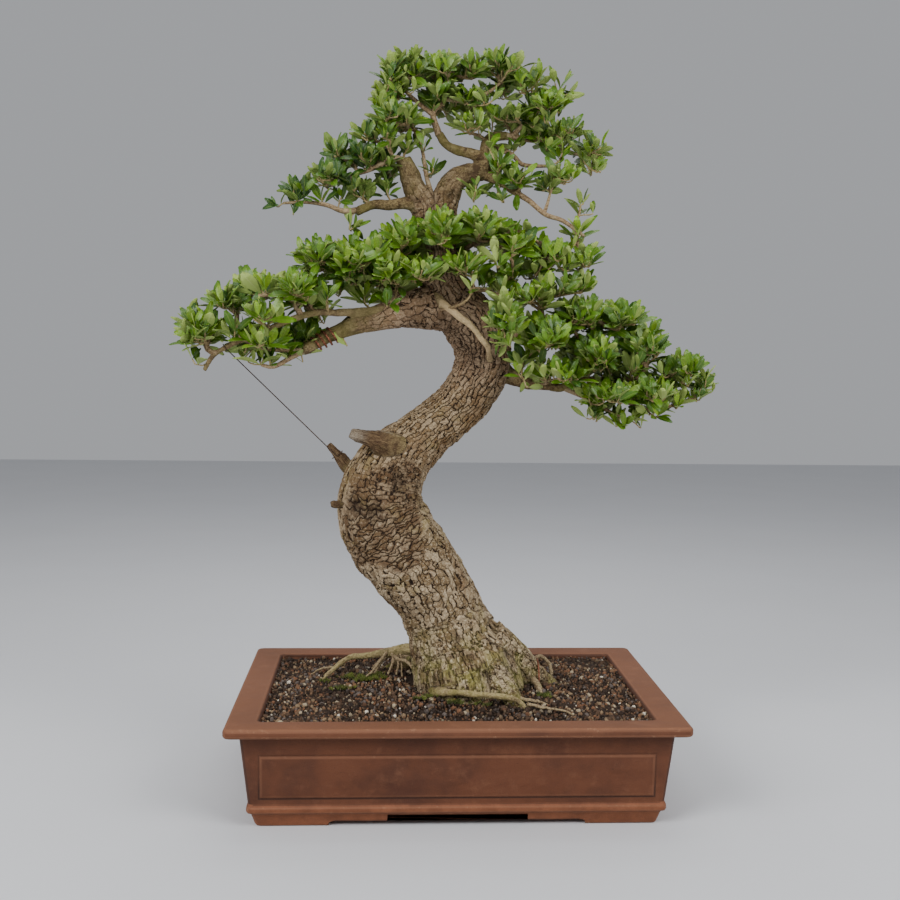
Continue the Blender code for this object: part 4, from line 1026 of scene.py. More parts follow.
# Rows of x, y, z and how far the cloud of leaves reaches along each of them.
pads = {
    "crown": [
        (-76, 0, 816, 18, 57, 35), (-54, 6, 836, 25, 46, 23), (-21, 6, 835, 28, 50, 23),
        (13, 3, 838, 23, 46, 19), (50, 6, 842, 33, 42, 17), (-70, -10, 776, 30, 57, 17),
        (-20, 25, 801, 29, 67, 20), (13, 30, 799, 26, 62, 14), (119, 5, 826, 18, 16, 15),
        (102, 15, 796, 31, 62, 15), (62, 20, 785, 24, 62, 13), (55, 51, 822, 22, 32, 16),
        (-90, 1, 790, 12, 42, 28), (-103, -4, 760, 18, 42, 14), (-83, -19, 757, 17, 32, 16),
        (17, -9, 771, 23, 42, 13), (35, -25, 748, 11, 15, 10), (88, 6, 826, 19, 42, 15),
        (116, 0, 825, 16, 18, 10), (-58, -25, 806, 23, 15, 16), (32, -30, 798, 18, 15, 16),
        (-58, -5, 750, 14, 25, 12), (-40, -5, 750, 12, 22, 12), (42, 0, 783, 9, 25, 10),
        (72, 0, 820, 10, 30, 13), (128, 6, 818, 10, 16, 9),
    ],
    "upperRight": [
        (160, 6, 748, 21, 42, 17), (126, 10, 768, 26, 52, 15), (99, 30, 776, 24, 62, 14),
        (48, -9, 725, 13, 32, 17), (72, -9, 712, 21, 42, 13), (112, -14, 714, 17, 37, 15),
        (146, -18, 684, 15, 12, 18), (24, 22, 697, 13, 15, 15), (104, 16, 753, 18, 32, 11),
        (159, 11, 726, 16, 32, 12), (128, -9, 715, 16, 32, 14), (147, -18, 687, 9, 12, 10),
        (20, -25, 700, 18, 15, 8), (54, -20, 687, 10, 12, 12), (20, -10, 690, 14, 20, 9),
        (42, -4, 694, 11, 18, 8), (100, -5, 704, 17, 24, 9), (157, -18, 671, 8, 10, 13),
        (70, 10, 752, 17, 28, 8), (122, 5, 744, 14, 28, 9), (170, 6, 728, 10, 28, 10),
    ],
    "upperLeft": [
        (-205, -10, 678, 14, 10, 8), (-182, -6, 696, 21, 30, 13), (-148, 3, 709, 25, 61, 15),
        (-107, 3, 733, 28, 52, 17), (-81, 23, 722, 18, 56, 14), (-28, 28, 725, 13, 10, 14),
        (-140, 8, 740, 18, 50, 11), (-25, -20, 722, 16, 12, 13), (-117, -16, 696, 20, 32, 9),
        (-155, -12, 686, 12, 12, 8), (-208, -18, 674, 14, 12, 7), (-123, -25, 652, 9, 10, 8),
        (-135, 0, 690, 14, 25, 10), (-108, 0, 701, 16, 28, 11), (-82, 0, 703, 15, 26, 13),
        (-212, -12, 676, 12, 14, 9), (-122, -15, 652, 13, 18, 9), (-190, -14, 668, 18, 16, 6),
    ],
    "middle": [
        (-61, -6, 635, 25, 80, 21), (-21, -12, 645, 25, 72, 25), (26, 4, 651, 28, 70, 23),
        (68, 12, 634, 23, 82, 19), (109, 9, 622, 28, 80, 13), (148, -6, 615, 17, 52, 11),
        (-43, -21, 599, 30, 83, 18), (5, -26, 606, 27, 62, 16), (-95, 4, 619, 23, 98, 18),
        (140, -15, 648, 12, 18, 10), (44, -50, 610, 20, 20, 9), (119, -25, 608, 25, 25, 9),
        (14, -60, 584, 14, 12, 7), (-82, -50, 564, 10, 12, 9), (-21, -60, 637, 22, 15, 16),
        (60, 0, 597, 20, 42, 12), (90, 5, 603, 20, 42, 10), (52, -20, 582, 13, 28, 9),
        (150, 0, 590, 15, 32, 13), (32, -25, 588, 12, 25, 12), (138, -8, 636, 12, 28, 9),
    ],
    "leftLow": [
        (-292, -37, 530, 27, 49, 26), (-260, -22, 562, 24, 59, 14), (-234, 8, 580, 25, 66, 14),
        (-218, -80, 547, 24, 30, 13), (-181, -6, 576, 28, 104, 21), (-159, 2, 614, 30, 70, 20),
        (-118, 4, 606, 30, 92, 30), (-77, -16, 594, 28, 84, 25), (-223, -22, 518, 30, 64, 11),
        (-183, 18, 524, 23, 54, 13), (-123, -20, 519, 16, 10, 7), (-175, -20, 499, 14, 10, 7),
        (-257, -50, 558, 16, 25, 14), (-252, -55, 529, 16, 20, 16), (-240, -40, 510, 14, 15, 8),
        (-147, -55, 571, 15, 20, 14), (-302, -45, 517, 14, 20, 10), (-309, -40, 550, 11, 20, 10),
        (-220, -60, 577, 25, 20, 12), (-245, -30, 502, 16, 22, 7), (-218, -30, 500, 16, 22, 7),
        (-196, -24, 503, 14, 18, 7), (-178, -20, 503, 13, 14, 7), (-300, -40, 503, 14, 16, 8),
        (-136, -8, 578, 14, 30, 10), (-108, -10, 573, 14, 28, 10), (-155, 15, 545, 14, 18, 8),
    ],
    "rightLow": [
        (55, -70, 543, 19, 30, 38), (85, -10, 574, 26, 62, 14), (102, -22, 527, 28, 94, 25),
        (148, 8, 552, 29, 86, 24), (195, 6, 550, 26, 80, 21), (159, -2, 505, 33, 104, 23),
        (220, 8, 517, 26, 94, 21), (119, -34, 484, 33, 64, 13), (176, -12, 461, 36, 84, 15),
        (225, -2, 464, 31, 84, 19), (269, 6, 492, 27, 64, 17), (298, 0, 480, 13, 25, 15),
        (210, -10, 439, 14, 20, 9), (114, -25, 586, 26, 30, 10), (154, -10, 592, 13, 20, 11),
        (100, -40, 569, 11, 20, 13), (51, -75, 526, 13, 15, 13), (39, -70, 541, 11, 12, 10),
        (72, -50, 490, 13, 20, 10), (294, 0, 475, 14, 22, 10), (271, -10, 477, 15, 25, 11),
        (243, -25, 489, 16, 20, 12), (204, -45, 496, 17, 25, 12), (160, -20, 454, 15, 20, 8),
        (81, -50, 475, 13, 15, 8), (228, 0, 537, 13, 36, 10), (240, 0, 517, 12, 32, 10),
        (262, -8, 452, 20, 28, 8), (289, -5, 458, 15, 24, 8), (238, -10, 441, 18, 28, 8),
        (304, 0, 468, 10, 18, 9), (165, -8, 435, 18, 24, 8), (195, -8, 426, 17, 24, 7),
        (221, -10, 424, 13, 18, 7), (76, -20, 502, 14, 28, 9), (100, -20, 499, 14, 28, 9),
        (181, -5, 487, 16, 36, 8), (205, -5, 487, 14, 36, 8),
    ],
}
# Thin branches that show between the pads, each a path of x, y, z and radius.
thinBranches = [
    [(-174, -27, 513, 4.6), (-190, -28, 504, 3.4), (-210, -30, 493, 2.8), (-224, -30, 495, 2.2)],
    [(-157, -24, 523, 4), (-168, -26, 515, 3.2), (-190, -31, 512, 2.8), (-218, -34, 513, 2.2),
     (-238, -36, 520, 1.7)],
    [(190, 1, 480, 3.2), (214, -4, 484, 2.6), (244, -2, 480, 2.2), (276, 0, 474, 1.7)],
    [(128, 8, 472, 3.6), (160, 0, 458, 2.8), (188, -4, 442, 2.3), (211, -6, 433, 1.8)],
    [(156, 2, 482, 3.6), (196, -2, 460, 2.8), (232, -2, 446, 2.4), (262, 0, 452, 2), (284, 0, 461, 1.6)],
    [(54, 16, 767, 4.6), (92, 16, 763, 3.6), (112, 14, 763, 3), (124, 12, 753, 2.6), (142, 8, 746, 2)],
    [(32, 11, 752, 5), (46, 11, 752, 4.2), (65, 8, 744, 3.2), (76, 6, 733, 2.8), (92, 4, 731, 2.4),
     (108, 2, 731, 1.8)],
    [(66, 15, 767, 3.4), (82, 8, 784, 2.8), (96, 2, 796, 2.3), (112, 0, 804, 1.8)],
    [(-22, -4, 763, 4.8), (-29, -4, 788, 3.6), (-15, -4, 804, 3), (-12, -4, 830, 2)],
    [(-14, -4, 804, 3), (9, 0, 804, 2.6), (34, 0, 813, 2.2), (49, 0, 825, 1.6)],
    [(-27, -5, 784, 3.2), (-46, -8, 798, 2.6), (-62, -10, 812, 2.1), (-72, -12, 828, 1.6)],
    [(68, -4, 699, 4.2), (84, -8, 689, 3.6), (103, -12, 673, 3.2), (123, -14, 666, 2.8),
     (148, -18, 648, 2)],
    [(101, -12, 674, 2.6), (105, -12, 686, 2), (108, -12, 698, 1.4)],
    [(134, -16, 660, 2.4), (141, -16, 672, 1.9), (143, -17, 684, 1.3)],
    [(-112, -9, 675, 4.4), (-132, -12, 673, 3.4), (-150, -14, 679, 2.8), (-174, -16, 682, 2.3),
     (-200, -19, 680, 1.6)],
    [(-62, -2, 732, 6), (-76, -5, 735, 4), (-95, -10, 724, 3.4), (-112, -13, 717, 2.8),
     (-134, -14, 712, 2)],
    [(-29, 6, 694, 3.4), (-36, 4, 718, 2.6), (-40, 2, 742, 2), (-46, 0, 762, 1.5)],
    [(-10, 4, 606, 5), (4, -12, 607, 4), (14, -28, 617, 3.4), (34, -34, 621, 2.8), (58, -36, 621, 2)],
    [(-10, 16, 618, 5), (20, 6, 640, 3.8), (52, -10, 650, 3), (72, -18, 652, 2.6), (94, -22, 640, 2)],
    [(-20, 14, 612, 6), (-52, -6, 606, 4.4), (-80, -20, 612, 3.4), (-104, -28, 622, 2.4)],
    [(-56, -1, 564, 6), (-76, 10, 586, 4.4), (-104, 14, 596, 3.4), (-136, 10, 604, 2.4)],
    [(42, 21, 518, 7), (66, 14, 530, 5), (88, 4, 540, 4), (118, -6, 546, 3), (144, -10, 552, 2.2)],
    [(-27, -6, 560, 2.2), (-8, -26, 563, 1.8), (6, -34, 568, 1.6), (14, -38, 576, 1.3), (18, -38, 588, 1)],
    [(128, -28, 546, 2.2), (149, -30, 523, 1.8), (166, -30, 505, 1.5)],
]


class Growth:
    # the twigs so far: points with a way ahead, the twig they belong to, and what each twig hangs on
    def __init__(self):
        self.places, self.ways, self.owners, self.open, self.twigs = [], [], [], [], []

    def addLine(self, line, parent=None, radii=None):
        left = np.linalg.norm(line - line[-1], axis=1)
        self.owners += [len(self.twigs)] * len(line)
        self.twigs.append({"first": len(self.places), "line": line, "parent": parent, "radii": radii})
        self.places += list(line)
        self.ways += list(framesAlong(line)[2])
        self.open += [radii is not None or far > foliage["bareEnd"] for far in left]

    def foot(self, tip):
        # the best point for a twig to start from: near its tip, and on a twig that heads there
        free = np.flatnonzero(self.open)
        places, ways = np.array(self.places)[free], np.array(self.ways)[free]
        away = tip - places
        distance = np.linalg.norm(away, axis=1) + 1e-6
        heed = foliage["heed"]
        cost = distance * (1 + heed - heed * (dots(away, ways) / distance))
        return free[cost.argmin()]


def sampleTips(chance):
    # the ends of twigs: spread through the pads' clouds, most of them near the outside
    tips, taken = [], np.full((foliage["mostTips"], 3), 1e6)
    share, least = foliage["tries"]
    for name, clouds in pads.items():
        for x, y, z, *reaches in clouds:
            centre, reach = np.array((x, y, z), float), np.array(reaches, float)
            inner = np.maximum(reach - foliage["rim"], reach * 0.35)
            for _ in range(int(math.prod(reaches) / share) + least):
                way = np.array([chance.gauss(0, 1) for _ in range(3)])
                tip = centre + way / np.linalg.norm(way) * inner * chance.random() ** 0.25
                near = taken[:len(tips) + 1] - tip
                if (near * near).sum(axis=1).min() > foliage["spacing"] ** 2 and len(tips) < len(taken) - 1:
                    taken[len(tips)] = tip
                    tips.append((tip, centre, name))
    return tips


def bendTwig(start, way, tip, last, chance):
    # a twig that leaves its branch the way it goes there and ends pointing along last, with small kinks
    length = np.linalg.norm(tip - start)
    first, second = start + way * length * foliage["bow"], tip - last * length * foliage["bow"]
    count = max(3, round(length / foliage["twigStep"]))
    line = []
    for k in range(count + 1):
        t = k / count
        place = (start * (1 - t) ** 3 + 3 * first * t * (1 - t) ** 2 + 3 * second * t * t * (1 - t)
                 + tip * t ** 3)
        line.append(place + jitter(chance, foliage["kink"]) if 0 < k < count else place)
    return np.array(line)


def growTwigs(chance):
    growth = Growth()
    for path in [leftLimb, leftWiredLimb, rightLowLimb, *upperLimbs, *thinBranches]:
        rows = smoothPath(path, 5.0)
        growth.addLine(rows[:, :3], None, rows[:, 3])
    tips, drawn = sampleTips(chance), np.array(growth.places)
    tips.sort(key=lambda tip: np.linalg.norm(drawn - tip[0], axis=1).min())
    ends = []
    for tip, centre, pad in tips:
        foot = growth.foot(tip)
        start, way = growth.places[foot], growth.ways[foot]
        if np.linalg.norm(start - tip) > foliage["reachOfTwigs"]:
            continue
        outward = (tip - centre) / (np.linalg.norm(tip - centre) + 1e-6)
        lift = np.array((0, 0, foliage["twigLift"]))
        last = unit(lift + outward * foliage["twigsOut"] + jitter(chance, foliage["twigStray"]))
        line = bendTwig(start, way, tip, last, chance)
        growth.addLine(line, foot)
        ends.append((tip, last, pad, line))
    return growth, ends


def twigRadii(growth):
    # what each twig carries makes it thicker towards its foot
    carried = [np.zeros(len(twig["line"])) for twig in growth.twigs]
    for number, twig in reversed(list(enumerate(growth.twigs))):
        load = 1 + np.cumsum(carried[number][::-1])[::-1]
        if twig["radii"] is None:
            twig["radii"] = foliage["tipRadius"] * load ** foliage["thickening"]
            owner = growth.owners[twig["parent"]]
            carried[owner][twig["parent"] - growth.twigs[owner]["first"]] += load[0]


def twigFinish():
    finish, graph, place = newFinish("twig bark")
    stout = graph.attribute("stout", "Fac")
    fine = graph.noise(place, 0.5, 4.0, 0.65)
    patch = graph.noise(place, 0.05, 3.0)
    old = graph.mix((152, 130, 98), (108, 86, 60), fine.rise(0.4, 0.62))
    colour = graph.paint(
        (172, 152, 108),
        ((132, 114, 74), fine.rise(0.35, 0.65)),
        (old, stout.rise(0.9, 2.2)),
        ((172, 156, 122), patch.rise(0.52, 0.7) * 0.6))
    graph.surface(colour, 0.75, fine, 0.0006, specular=0.3)
    return finish


def stemPattern(finish):
    # a round stem along every line, as thick as its points say
    tree, graph, given = newPattern("stems along lines", {"Sides": "Int"})
    line = graph.node("GeometryNodeMeshToCurve", {}, {"Mesh": given["Geometry"]})["Curve"]
    values = {"Resolution": given["Sides"], "Radius": mm}
    ring = graph.node("GeometryNodeCurvePrimitiveCircle", {}, values)["Curve"]
    values = {"Curve": line, "Profile Curve": ring, "Scale": graph.stored("stout"), "Fill Caps": True}
    endPattern(graph, graph.node("GeometryNodeCurveToMesh", {}, values)["Mesh"], finish)
    return tree


def makeStems(name, lines, finish, sides):
    # round stems in one piece, from lines with a radius at each of their points
    points, edges, stout = [], [], []
    for line, radii in lines:
        edges += [(len(points) + i, len(points) + i + 1) for i in range(len(line) - 1)]
        points += list(line)
        stout += list(radii)
    piece = newPiece(name, newMesh(name, points, [], edges))
    giveValues(piece.data, "stout", stout)
    applyPattern(piece, stemPattern(finish), {"Sides": sides})
    piece.data.shade_smooth()
    return piece


leafKinds = [  # widest at, width, fold, droop and twist, in shares of the length
    (0.56, 0.37, 0.10, 0.06, 0.05), (0.5, 0.33, 0.16, 0.14, -0.1), (0.58, 0.40, 0.06, -0.05, 0.12),
    (0.52, 0.35, 0.12, 0.22, 0.0), (0.48, 0.31, 0.2, 0.02, -0.05),
]
leafStations = (0.0, 0.1, 0.28, 0.5, 0.74, 1.0)
leafShape = ("leafWay", "leafFace", "leafSize", "leafKind")  # what places a leaf, and then what colours it
leafLook = ("leafTone", "leafYouth")


def makeLeaf(widest, width, fold, droop, twist):
    # one leaf of unit length along Y, its upper side towards Z: two skins that meet at the rim
    points, marks = [], []
    stalk, thin = foliage["stalk"]
    for t in leafStations:
        if t < stalk:
            half = thin
        elif t < widest:
            half = thin + (width / 2 - thin) * math.sin((t - stalk) / (widest - stalk) * math.pi / 2) ** 1.15
        else:
            half = width / 2 * math.sqrt(max(0.0, 1 - ((t - widest) / (1.02 - widest)) ** 2.3)) + 0.004
        sink, turn = -droop * t * t, twist * math.sin(t * math.pi)
        for across in (-1, 0, 1):
            x = across * half
            points.append((x, t, sink + abs(across) * half * fold * 2 + x * turn))
            marks.append((t, across, 0))
        points.append((0, t, sink - foliage["thickness"]))
        marks.append((t, 0, 0))
    last = len(points) - 4
    faces, under = [], []
    for low in range(0, last, 4):
        left, mid, right, below = range(low, low + 4)
        for start, end, lower in ((left, mid, 0), (mid, right, 0), (below, left, 1), (right, below, 1)):
            faces.append((start, end, end + 4, start + 4))
            under.append(lower)
    faces += [(0, 3, 1), (1, 3, 2), (last, last + 1, last + 3), (last + 1, last + 2, last + 3)]
    mesh = bpy.data.meshes.new("leaf")
    mesh.from_pydata(points, [], faces)
    giveValues(mesh, "leafPlace", marks)
    giveValues(mesh, "leafUnder", under + [1, 1, 1, 1], "FACE")
    mesh.shade_smooth()
    sharp = mesh.attributes.new("sharp_edge", "BOOLEAN", "EDGE")
    for edge in mesh.edges:
        sharp.data[edge.index].value = all(corner % 4 in (0, 2) for corner in edge.vertices)
    return mesh


def leafFinish():
    finish, graph, spot = newFinish("olive leaf")
    place = graph.attribute("leafPlace")
    at = graph.parts(place)
    along, across = at["X"], at["Y"].size()
    under, tone, youth = (graph.attribute(name, "Fac") for name in ("leafUnder", *leafLook))
    cloud = graph.noise(spot, 0.12, 3.0, 0.6)
    fine = graph.noise(spot, 0.9, 2.0, 0.6)
    ribs = graph.node("ShaderNodeTexWave", {"bands_direction": "X"},
                      {"Vector": place, "Scale": 2.2, "Distortion": 1.0, "Detail": 1.0})["Fac"]
    midrib = across.rise(0.16, 0.0) * along.rise(1.0, 0.7)
    # tone holds each leaf's own tone and its pad's painted light and shade
    top = graph.paint(
        (36, 72, 8),
        ((100, 140, 18), tone),
        ((142, 172, 34), youth * 0.8),
        ((46, 84, 12), cloud.rise(0.35, 0.7) * 0.35),
        ((140, 158, 70), midrib * 0.5),
        ((64, 98, 28), ribs.rise(0.4, 1.0) * 0.2))
    pale = graph.paint(
        (102, 126, 46),
        ((156, 174, 92), tone),
        ((142, 168, 58), youth * 0.5),
        ((166, 178, 112), midrib * 0.5))
    colour = graph.paint(top, (pale, under), ((160, 164, 96), along.rise(0.14, 0.04) * 0.7))
    relief = fine * 0.2 + midrib * 0.6 + ribs * 0.15
    graph.surface(colour, 0.36 + under * 0.25 + fine * 0.12, relief, 0.0003)
    return finish


def leafPattern(finish):
    tree, graph, given = newPattern("leaves on twigs", {"Leaves": "Collection"})
    axes = {"Primary Axis": graph.stored("leafWay", "FLOAT_VECTOR"),
            "Secondary Axis": graph.stored("leafFace", "FLOAT_VECTOR")}
    order = {"primary_axis": "Y", "secondary_axis": "Z"}
    turn = graph.node("FunctionNodeAxesToRotation", order, axes)["Rotation"]
    size, kind = graph.stored("leafSize") * mm, graph.stored("leafKind")
    putShapes(graph, given["Geometry"], given["Leaves"], kind, turn, size, finish)
    return tree


def backAlong(line, distance):
    # the place on a line at a distance from its end
    for last, before in zip(line[::-1], line[-2::-1]):
        length = np.linalg.norm(last - before)
        if distance <= length:
            return last + (before - last) * distance / length
        distance -= length
    return line[0]


def leavesOn(ends, chance):
    # pairs of leaves, each turned a quarter from the last, up to the end of every twig
    rows = {name: [] for name in pads}
    first, last = foliage["spreads"]
    for tip, axis, pad, line in ends:
        side = unit(np.cross(axis, (chance.uniform(-1, 1), chance.uniform(-1, 1), 0.3)))
        upper = np.cross(axis, side)
        pairs = chance.choice((2, 2, 3, 3))
        gap = chance.uniform(*foliage["pairGaps"])
        mood = chance.random()
        length, padLightTone = foliage["leafLength"][pad], foliage["padLightTone"][pad]
        for pair in range(pairs):
            share = pair / max(1, pairs - 1)
            foot = backAlong(line, (pairs - 1 - pair) * gap)
            turn = pair * math.pi / 2 + chance.uniform(-0.25, 0.25)
            for sign in (1, -1):
                out = (side * math.cos(turn) + upper * math.sin(turn)) * sign
                spread = math.radians(chance.uniform(*first) * (1 - share) + chance.uniform(*last) * share)
                way = axis * math.cos(spread) + out * math.sin(spread)
                way = unit(way + np.array((0, 0, foliage["leafLift"])) + jitter(chance, foliage["leafStray"]))
                face = axis - way * axis.dot(way) + jitter(chance, foliage["leafTilt"])
                size = length * chance.uniform(*foliage["leafSizes"]) * (1.0 - foliage["shrink"] * share)
                end = foot + way * size
                if ((end < roomLow + foliage["room"]) | (end > roomHigh - foliage["room"])).any():
                    continue
                # each leaf's own tone, with its pad's painted light and shade added
                tone = min(1.0, max(0.0, 0.25 + 0.5 * mood + chance.gauss(0, 0.18) + padLightTone))
                youth = max(0.0, share * 0.8 - 0.25 + chance.uniform(-0.3, 0.3)) * (mood > 0.35)
                youth *= 1 + 2 * min(0.0, padLightTone)
                rows[pad].append((foot, way, face, size, chance.randrange(len(leafKinds)), tone, youth))
    return rows


sprayOwners = {
    "crown": ("spray_crown",), "upperRight": ("spray_upper_right", "spray_right_reach"),
    "upperLeft": ("spray_upper_left", "spray_left_long"), "middle": ("spray_middle",),
    "leftLow": ("spray_left_low",), "rightLow": ("spray_right_low",),
}


def spraysOf(starts):
    return [name for name in frame["nodes"] if name.startswith(starts)]


def makeLeaves(rows, finish):
    shelf = makeShelf("leaf", [makeLeaf(*kind) for kind in leafKinds])
    tree = leafPattern(finish)
    for pad, leaves in rows.items():
        places, *values = zip(*leaves)
        piece = newPiece(pad + "Leaves", newMesh(pad + "Leaves", places, []))
        for name, each in zip(leafShape + leafLook, values):
            giveValues(piece.data, name, each)
        applyPattern(piece, tree, {"Leaves": shelf})
        for name in leafShape:
            spare = piece.data.attributes.get(name)
            if spare:
                piece.data.attributes.remove(spare)
        settle(piece, "leaf", *spraysOf(sprayOwners[pad]))
    emptyShelf(shelf)


def makeFoliage():
    chance = random.Random(foliage["seed"])
    growth, ends = growTwigs(chance)
    twigRadii(growth)
    lines = [(twig["line"], np.clip(twig["radii"], *foliage["twigRadii"])) for twig in growth.twigs
             if twig["radii"].max() <= foliage["stoutest"]]
    settle(makeStems("fineTwigs", lines, twigFinish(), 6), "bark", *spraysOf("spray_"))
    rows = leavesOn(ends, chance)
    makeLeaves(rows, leafFinish())
    print("leaves:", sum(len(row) for row in rows.values()), "on", len(ends), "twigs")


makeFoliage()


# Wires

wires = {
    "clearance": 0.9,  # between a wire and the bark it is wound on
    "sides": 10,
    "stepsPerTurn": 20,
    "guy": {"radius": 0.6, "pitch": 2.6, "from": -262.0, "turns": 1.0, "to": -137.0, "turnsBelow": 0.8},
    "training": {"radius": 1.25, "from": -140.0, "to": -165.0, "turns": 4},
    "anchor": {"radius": 1.0, "at": 103.0, "foot": 92.0, "clearance": 6.7, "steps": 25},
}


def placeAt(path, x):
    # the row where a path passes x, and its way ahead there
    rows = smoothPath(path, 1.0)
    nearest = int(np.abs(rows[:, 0] - x).argmin())
    return rows[nearest], framesAlong(rows[:, :3])[2][nearest]


def loopRound(path, x, radius, turns, way):
    # a wire wound round a branch, from the side that way points to
    row, ahead = placeAt(path, x)
    side = unit(way - ahead * ahead.dot(way))
    upper = np.cross(ahead, side)
    reach = row[3] + radius + wires["clearance"]
    turn = np.linspace(0, 2 * math.pi * turns, round(turns * wires["stepsPerTurn"]) + 1)[:, None]
    pitch = wires["guy"]["pitch"]
    ring = (side * np.cos(turn) + upper * np.sin(turn)) * reach
    return row[:3] + ring + ahead * turn / (2 * math.pi) * pitch


def makeWire(name, line, radius, finish, slot, node):
    # a round wire with closed ends along a line
    line = np.asarray(line)
    side, upper, _ = framesAlong(line)
    turn = np.linspace(0, 2 * math.pi, wires["sides"], endpoint=False)[:, None, None]
    rings = line + (side * np.cos(turn) + upper * np.sin(turn)) * radius
    piece = newPiece(name, newMesh(name, *skinOver(rings.transpose(1, 0, 2))), finish)
    piece.data.shade_smooth()
    settle(piece, slot, node)


def wireFinish(name, bright, dark, roughness):
    finish, graph, place = newFinish(name)
    spots = graph.noise(place, 0.4, 4.0, 0.6)
    colour = graph.mix(bright, dark, spots.rise(0.4, 0.65))
    graph.surface(colour, roughness + spots * 0.2, spots, 0.0002, metallic=1.0)
    return finish


def guyLine(guy):
    # straight from the branch to the stub, with a turn round each
    high, low = placeAt(leftWiredLimb, guy["from"])[0], placeAt(deadStubs[1], guy["to"])[0]
    way = unit((low - high)[:3])
    first = loopRound(leftWiredLimb, guy["from"], guy["radius"], guy["turns"], way)
    last = loopRound(deadStubs[1], guy["to"], guy["radius"], guy["turnsBelow"], -way)
    return [*first[::-1], *last]


def coilLine(coil):
    rows = smoothPath(leftLimb, 0.5)
    side, upper, _ = framesAlong(rows[:, :3])
    chosen = np.flatnonzero((rows[:, 0] <= coil["from"]) & (rows[:, 0] >= coil["to"]))
    turn = np.linspace(0, 2 * math.pi * coil["turns"], len(chosen))[:, None]
    reach = rows[chosen, 3:] + coil["radius"] + wires["clearance"]
    return rows[chosen, :3] + (side[chosen] * np.cos(turn) + upper[chosen] * np.sin(turn)) * reach


def hoopLine(hoop):
    # up out of the soil, over a root and down again
    (x, y, z, stout), ahead = placeAt(thickRoots[0], hoop["at"])
    reach = stout / math.hypot(ahead[0], ahead[1]) + hoop["clearance"]
    turns = np.linspace(0, math.pi, hoop["steps"])
    arch = [(x, y - reach * math.cos(turn), z + reach * math.sin(turn)) for turn in turns]
    return [(x, y - reach, hoop["foot"]), *arch, (x, y + reach, hoop["foot"])]


def makeWires():
    iron = wireFinish("annealed iron", (112, 92, 78), (52, 40, 34), 0.45)
    copper = wireFinish("weathered copper", (150, 98, 76), (84, 54, 42), 0.5)
    for key, route, finish, slot in (("guy", guyLine, iron, "iron_wire"),
                                     ("training", coilLine, copper, "copper_wire"),
                                     ("anchor", hoopLine, copper, "copper_wire")):
        makeWire(key + "Wire", route(wires[key]), wires[key]["radius"], finish, slot, key + "_wire")


makeWires()
print("wires")


# Soil and its grains

ground = {
    "edge": 109.0,
    "mound": 13.0,
    "moundReach": 120.0,
    "moundAt": (22.0, -6.0),
    "uneven": 1.2,
    "unevenSpan": 34.0,
    "reach": (214.0, 149.0),
    "cell": 4.0,
    "cover": 60.0,  # wood lower than this over the soil leaves no room for grains
    "lift": 0.4,
    "gap": 2.9,
    "sizes": (1.35, 3.9),
    "fewLarge": 3,  # the higher, the more grains are small
    "turns": ((0.0, 0.0, 0.0), (6.28, 6.28, 6.28)),
    "crowding": 90000.0,  # grains to a square metre, before their gap thins them out
    "kinds": 12,
    "scatter": 1,
    "seed": 21,
}


def groundHeight(x, y):
    away = (x - ground["moundAt"][0]) ** 2 + (y - ground["moundAt"][1]) ** 2
    place = Vector((x / ground["unevenSpan"], y / ground["unevenSpan"], 0))
    return (ground["edge"] + ground["mound"] * math.exp(-away / ground["moundReach"] ** 2)
            + ground["uneven"] * noise.noise(place))


def openGround(tree, wide, deep, lift, keep=lambda x, y: True):
    # the top of the soil as a grid, without what the trunk and its roots stand on
    cell = ground["cell"]
    xs, ys = np.arange(-wide, wide + 0.1, cell), np.arange(-deep, deep + 0.1, cell)
    points = [(x, y, groundHeight(x, y) + lift) for y in ys for x in xs]
    faces = []
    for j in range(len(ys) - 1):
        for i in range(len(xs) - 1):
            x, y = xs[i] + cell / 2, ys[j] + cell / 2
            start = Vector((x, y, groundHeight(x, y) + 0.5))
            if tree.ray_cast(start, Vector((0, 0, 1)), ground["cover"])[0] is None and keep(x, y):
                low = j * len(xs) + i
                faces.append((low, low + 1, low + len(xs) + 1, low + len(xs)))
    return points, faces


def strewPattern(name, finish, how, marks=None, share=None):
    # one of the shelf's shapes on each of many points over a mesh, its size and its turn by chance
    # marks names the number that each of them keeps, share what thins them out
    tree, graph, given = newPattern(name, {"Shapes": "Collection", "Gap": "Float", "Smallest": "Float",
                                           "Largest": "Float", "Seed": "Int"})
    values = {"Mesh": given["Geometry"], "Distance Min": given["Gap"], "Density Max": how["crowding"],
              "Seed": given["Seed"]}
    if share:
        values["Density Factor"] = graph.stored(share)
    spread = {"distribute_method": "POISSON"}
    points = graph.node("GeometryNodeDistributePointsOnFaces", spread, values)["Points"]
    if marks:
        values = {"Geometry": points, "Name": marks, "Value": graph.dice("FLOAT", 0.0, 1.0, 3)}
        points = graph.node("GeometryNodeStoreNamedAttribute", {}, values)["Geometry"]
    turn = {"Euler": graph.dice("FLOAT_VECTOR", *how["turns"], 4)}
    turn = graph.node("FunctionNodeEulerToRotation", {}, turn)["Rotation"]
    size = graph.dice("FLOAT", 0.0, 1.0, 5) ** how["fewLarge"]
    size = given["Smallest"] + (given["Largest"] - given["Smallest"]) * size
    putShapes(graph, points, given["Shapes"], graph.dice("INT", 0, 99, 6), turn, size, finish)
    return tree


def strew(name, mesh, tree, shapes, how):
    # a piece of shapes that are strewn over a mesh
    shelf = makeShelf(name, shapes)
    piece = newPiece(name, mesh)
    low, high = how["sizes"]
    applyPattern(piece, tree, {"Shapes": shelf, "Gap": how["gap"] * mm, "Smallest": low * mm,
                               "Largest": high * mm, "Seed": how["scatter"]})
    emptyShelf(shelf)
    return piece


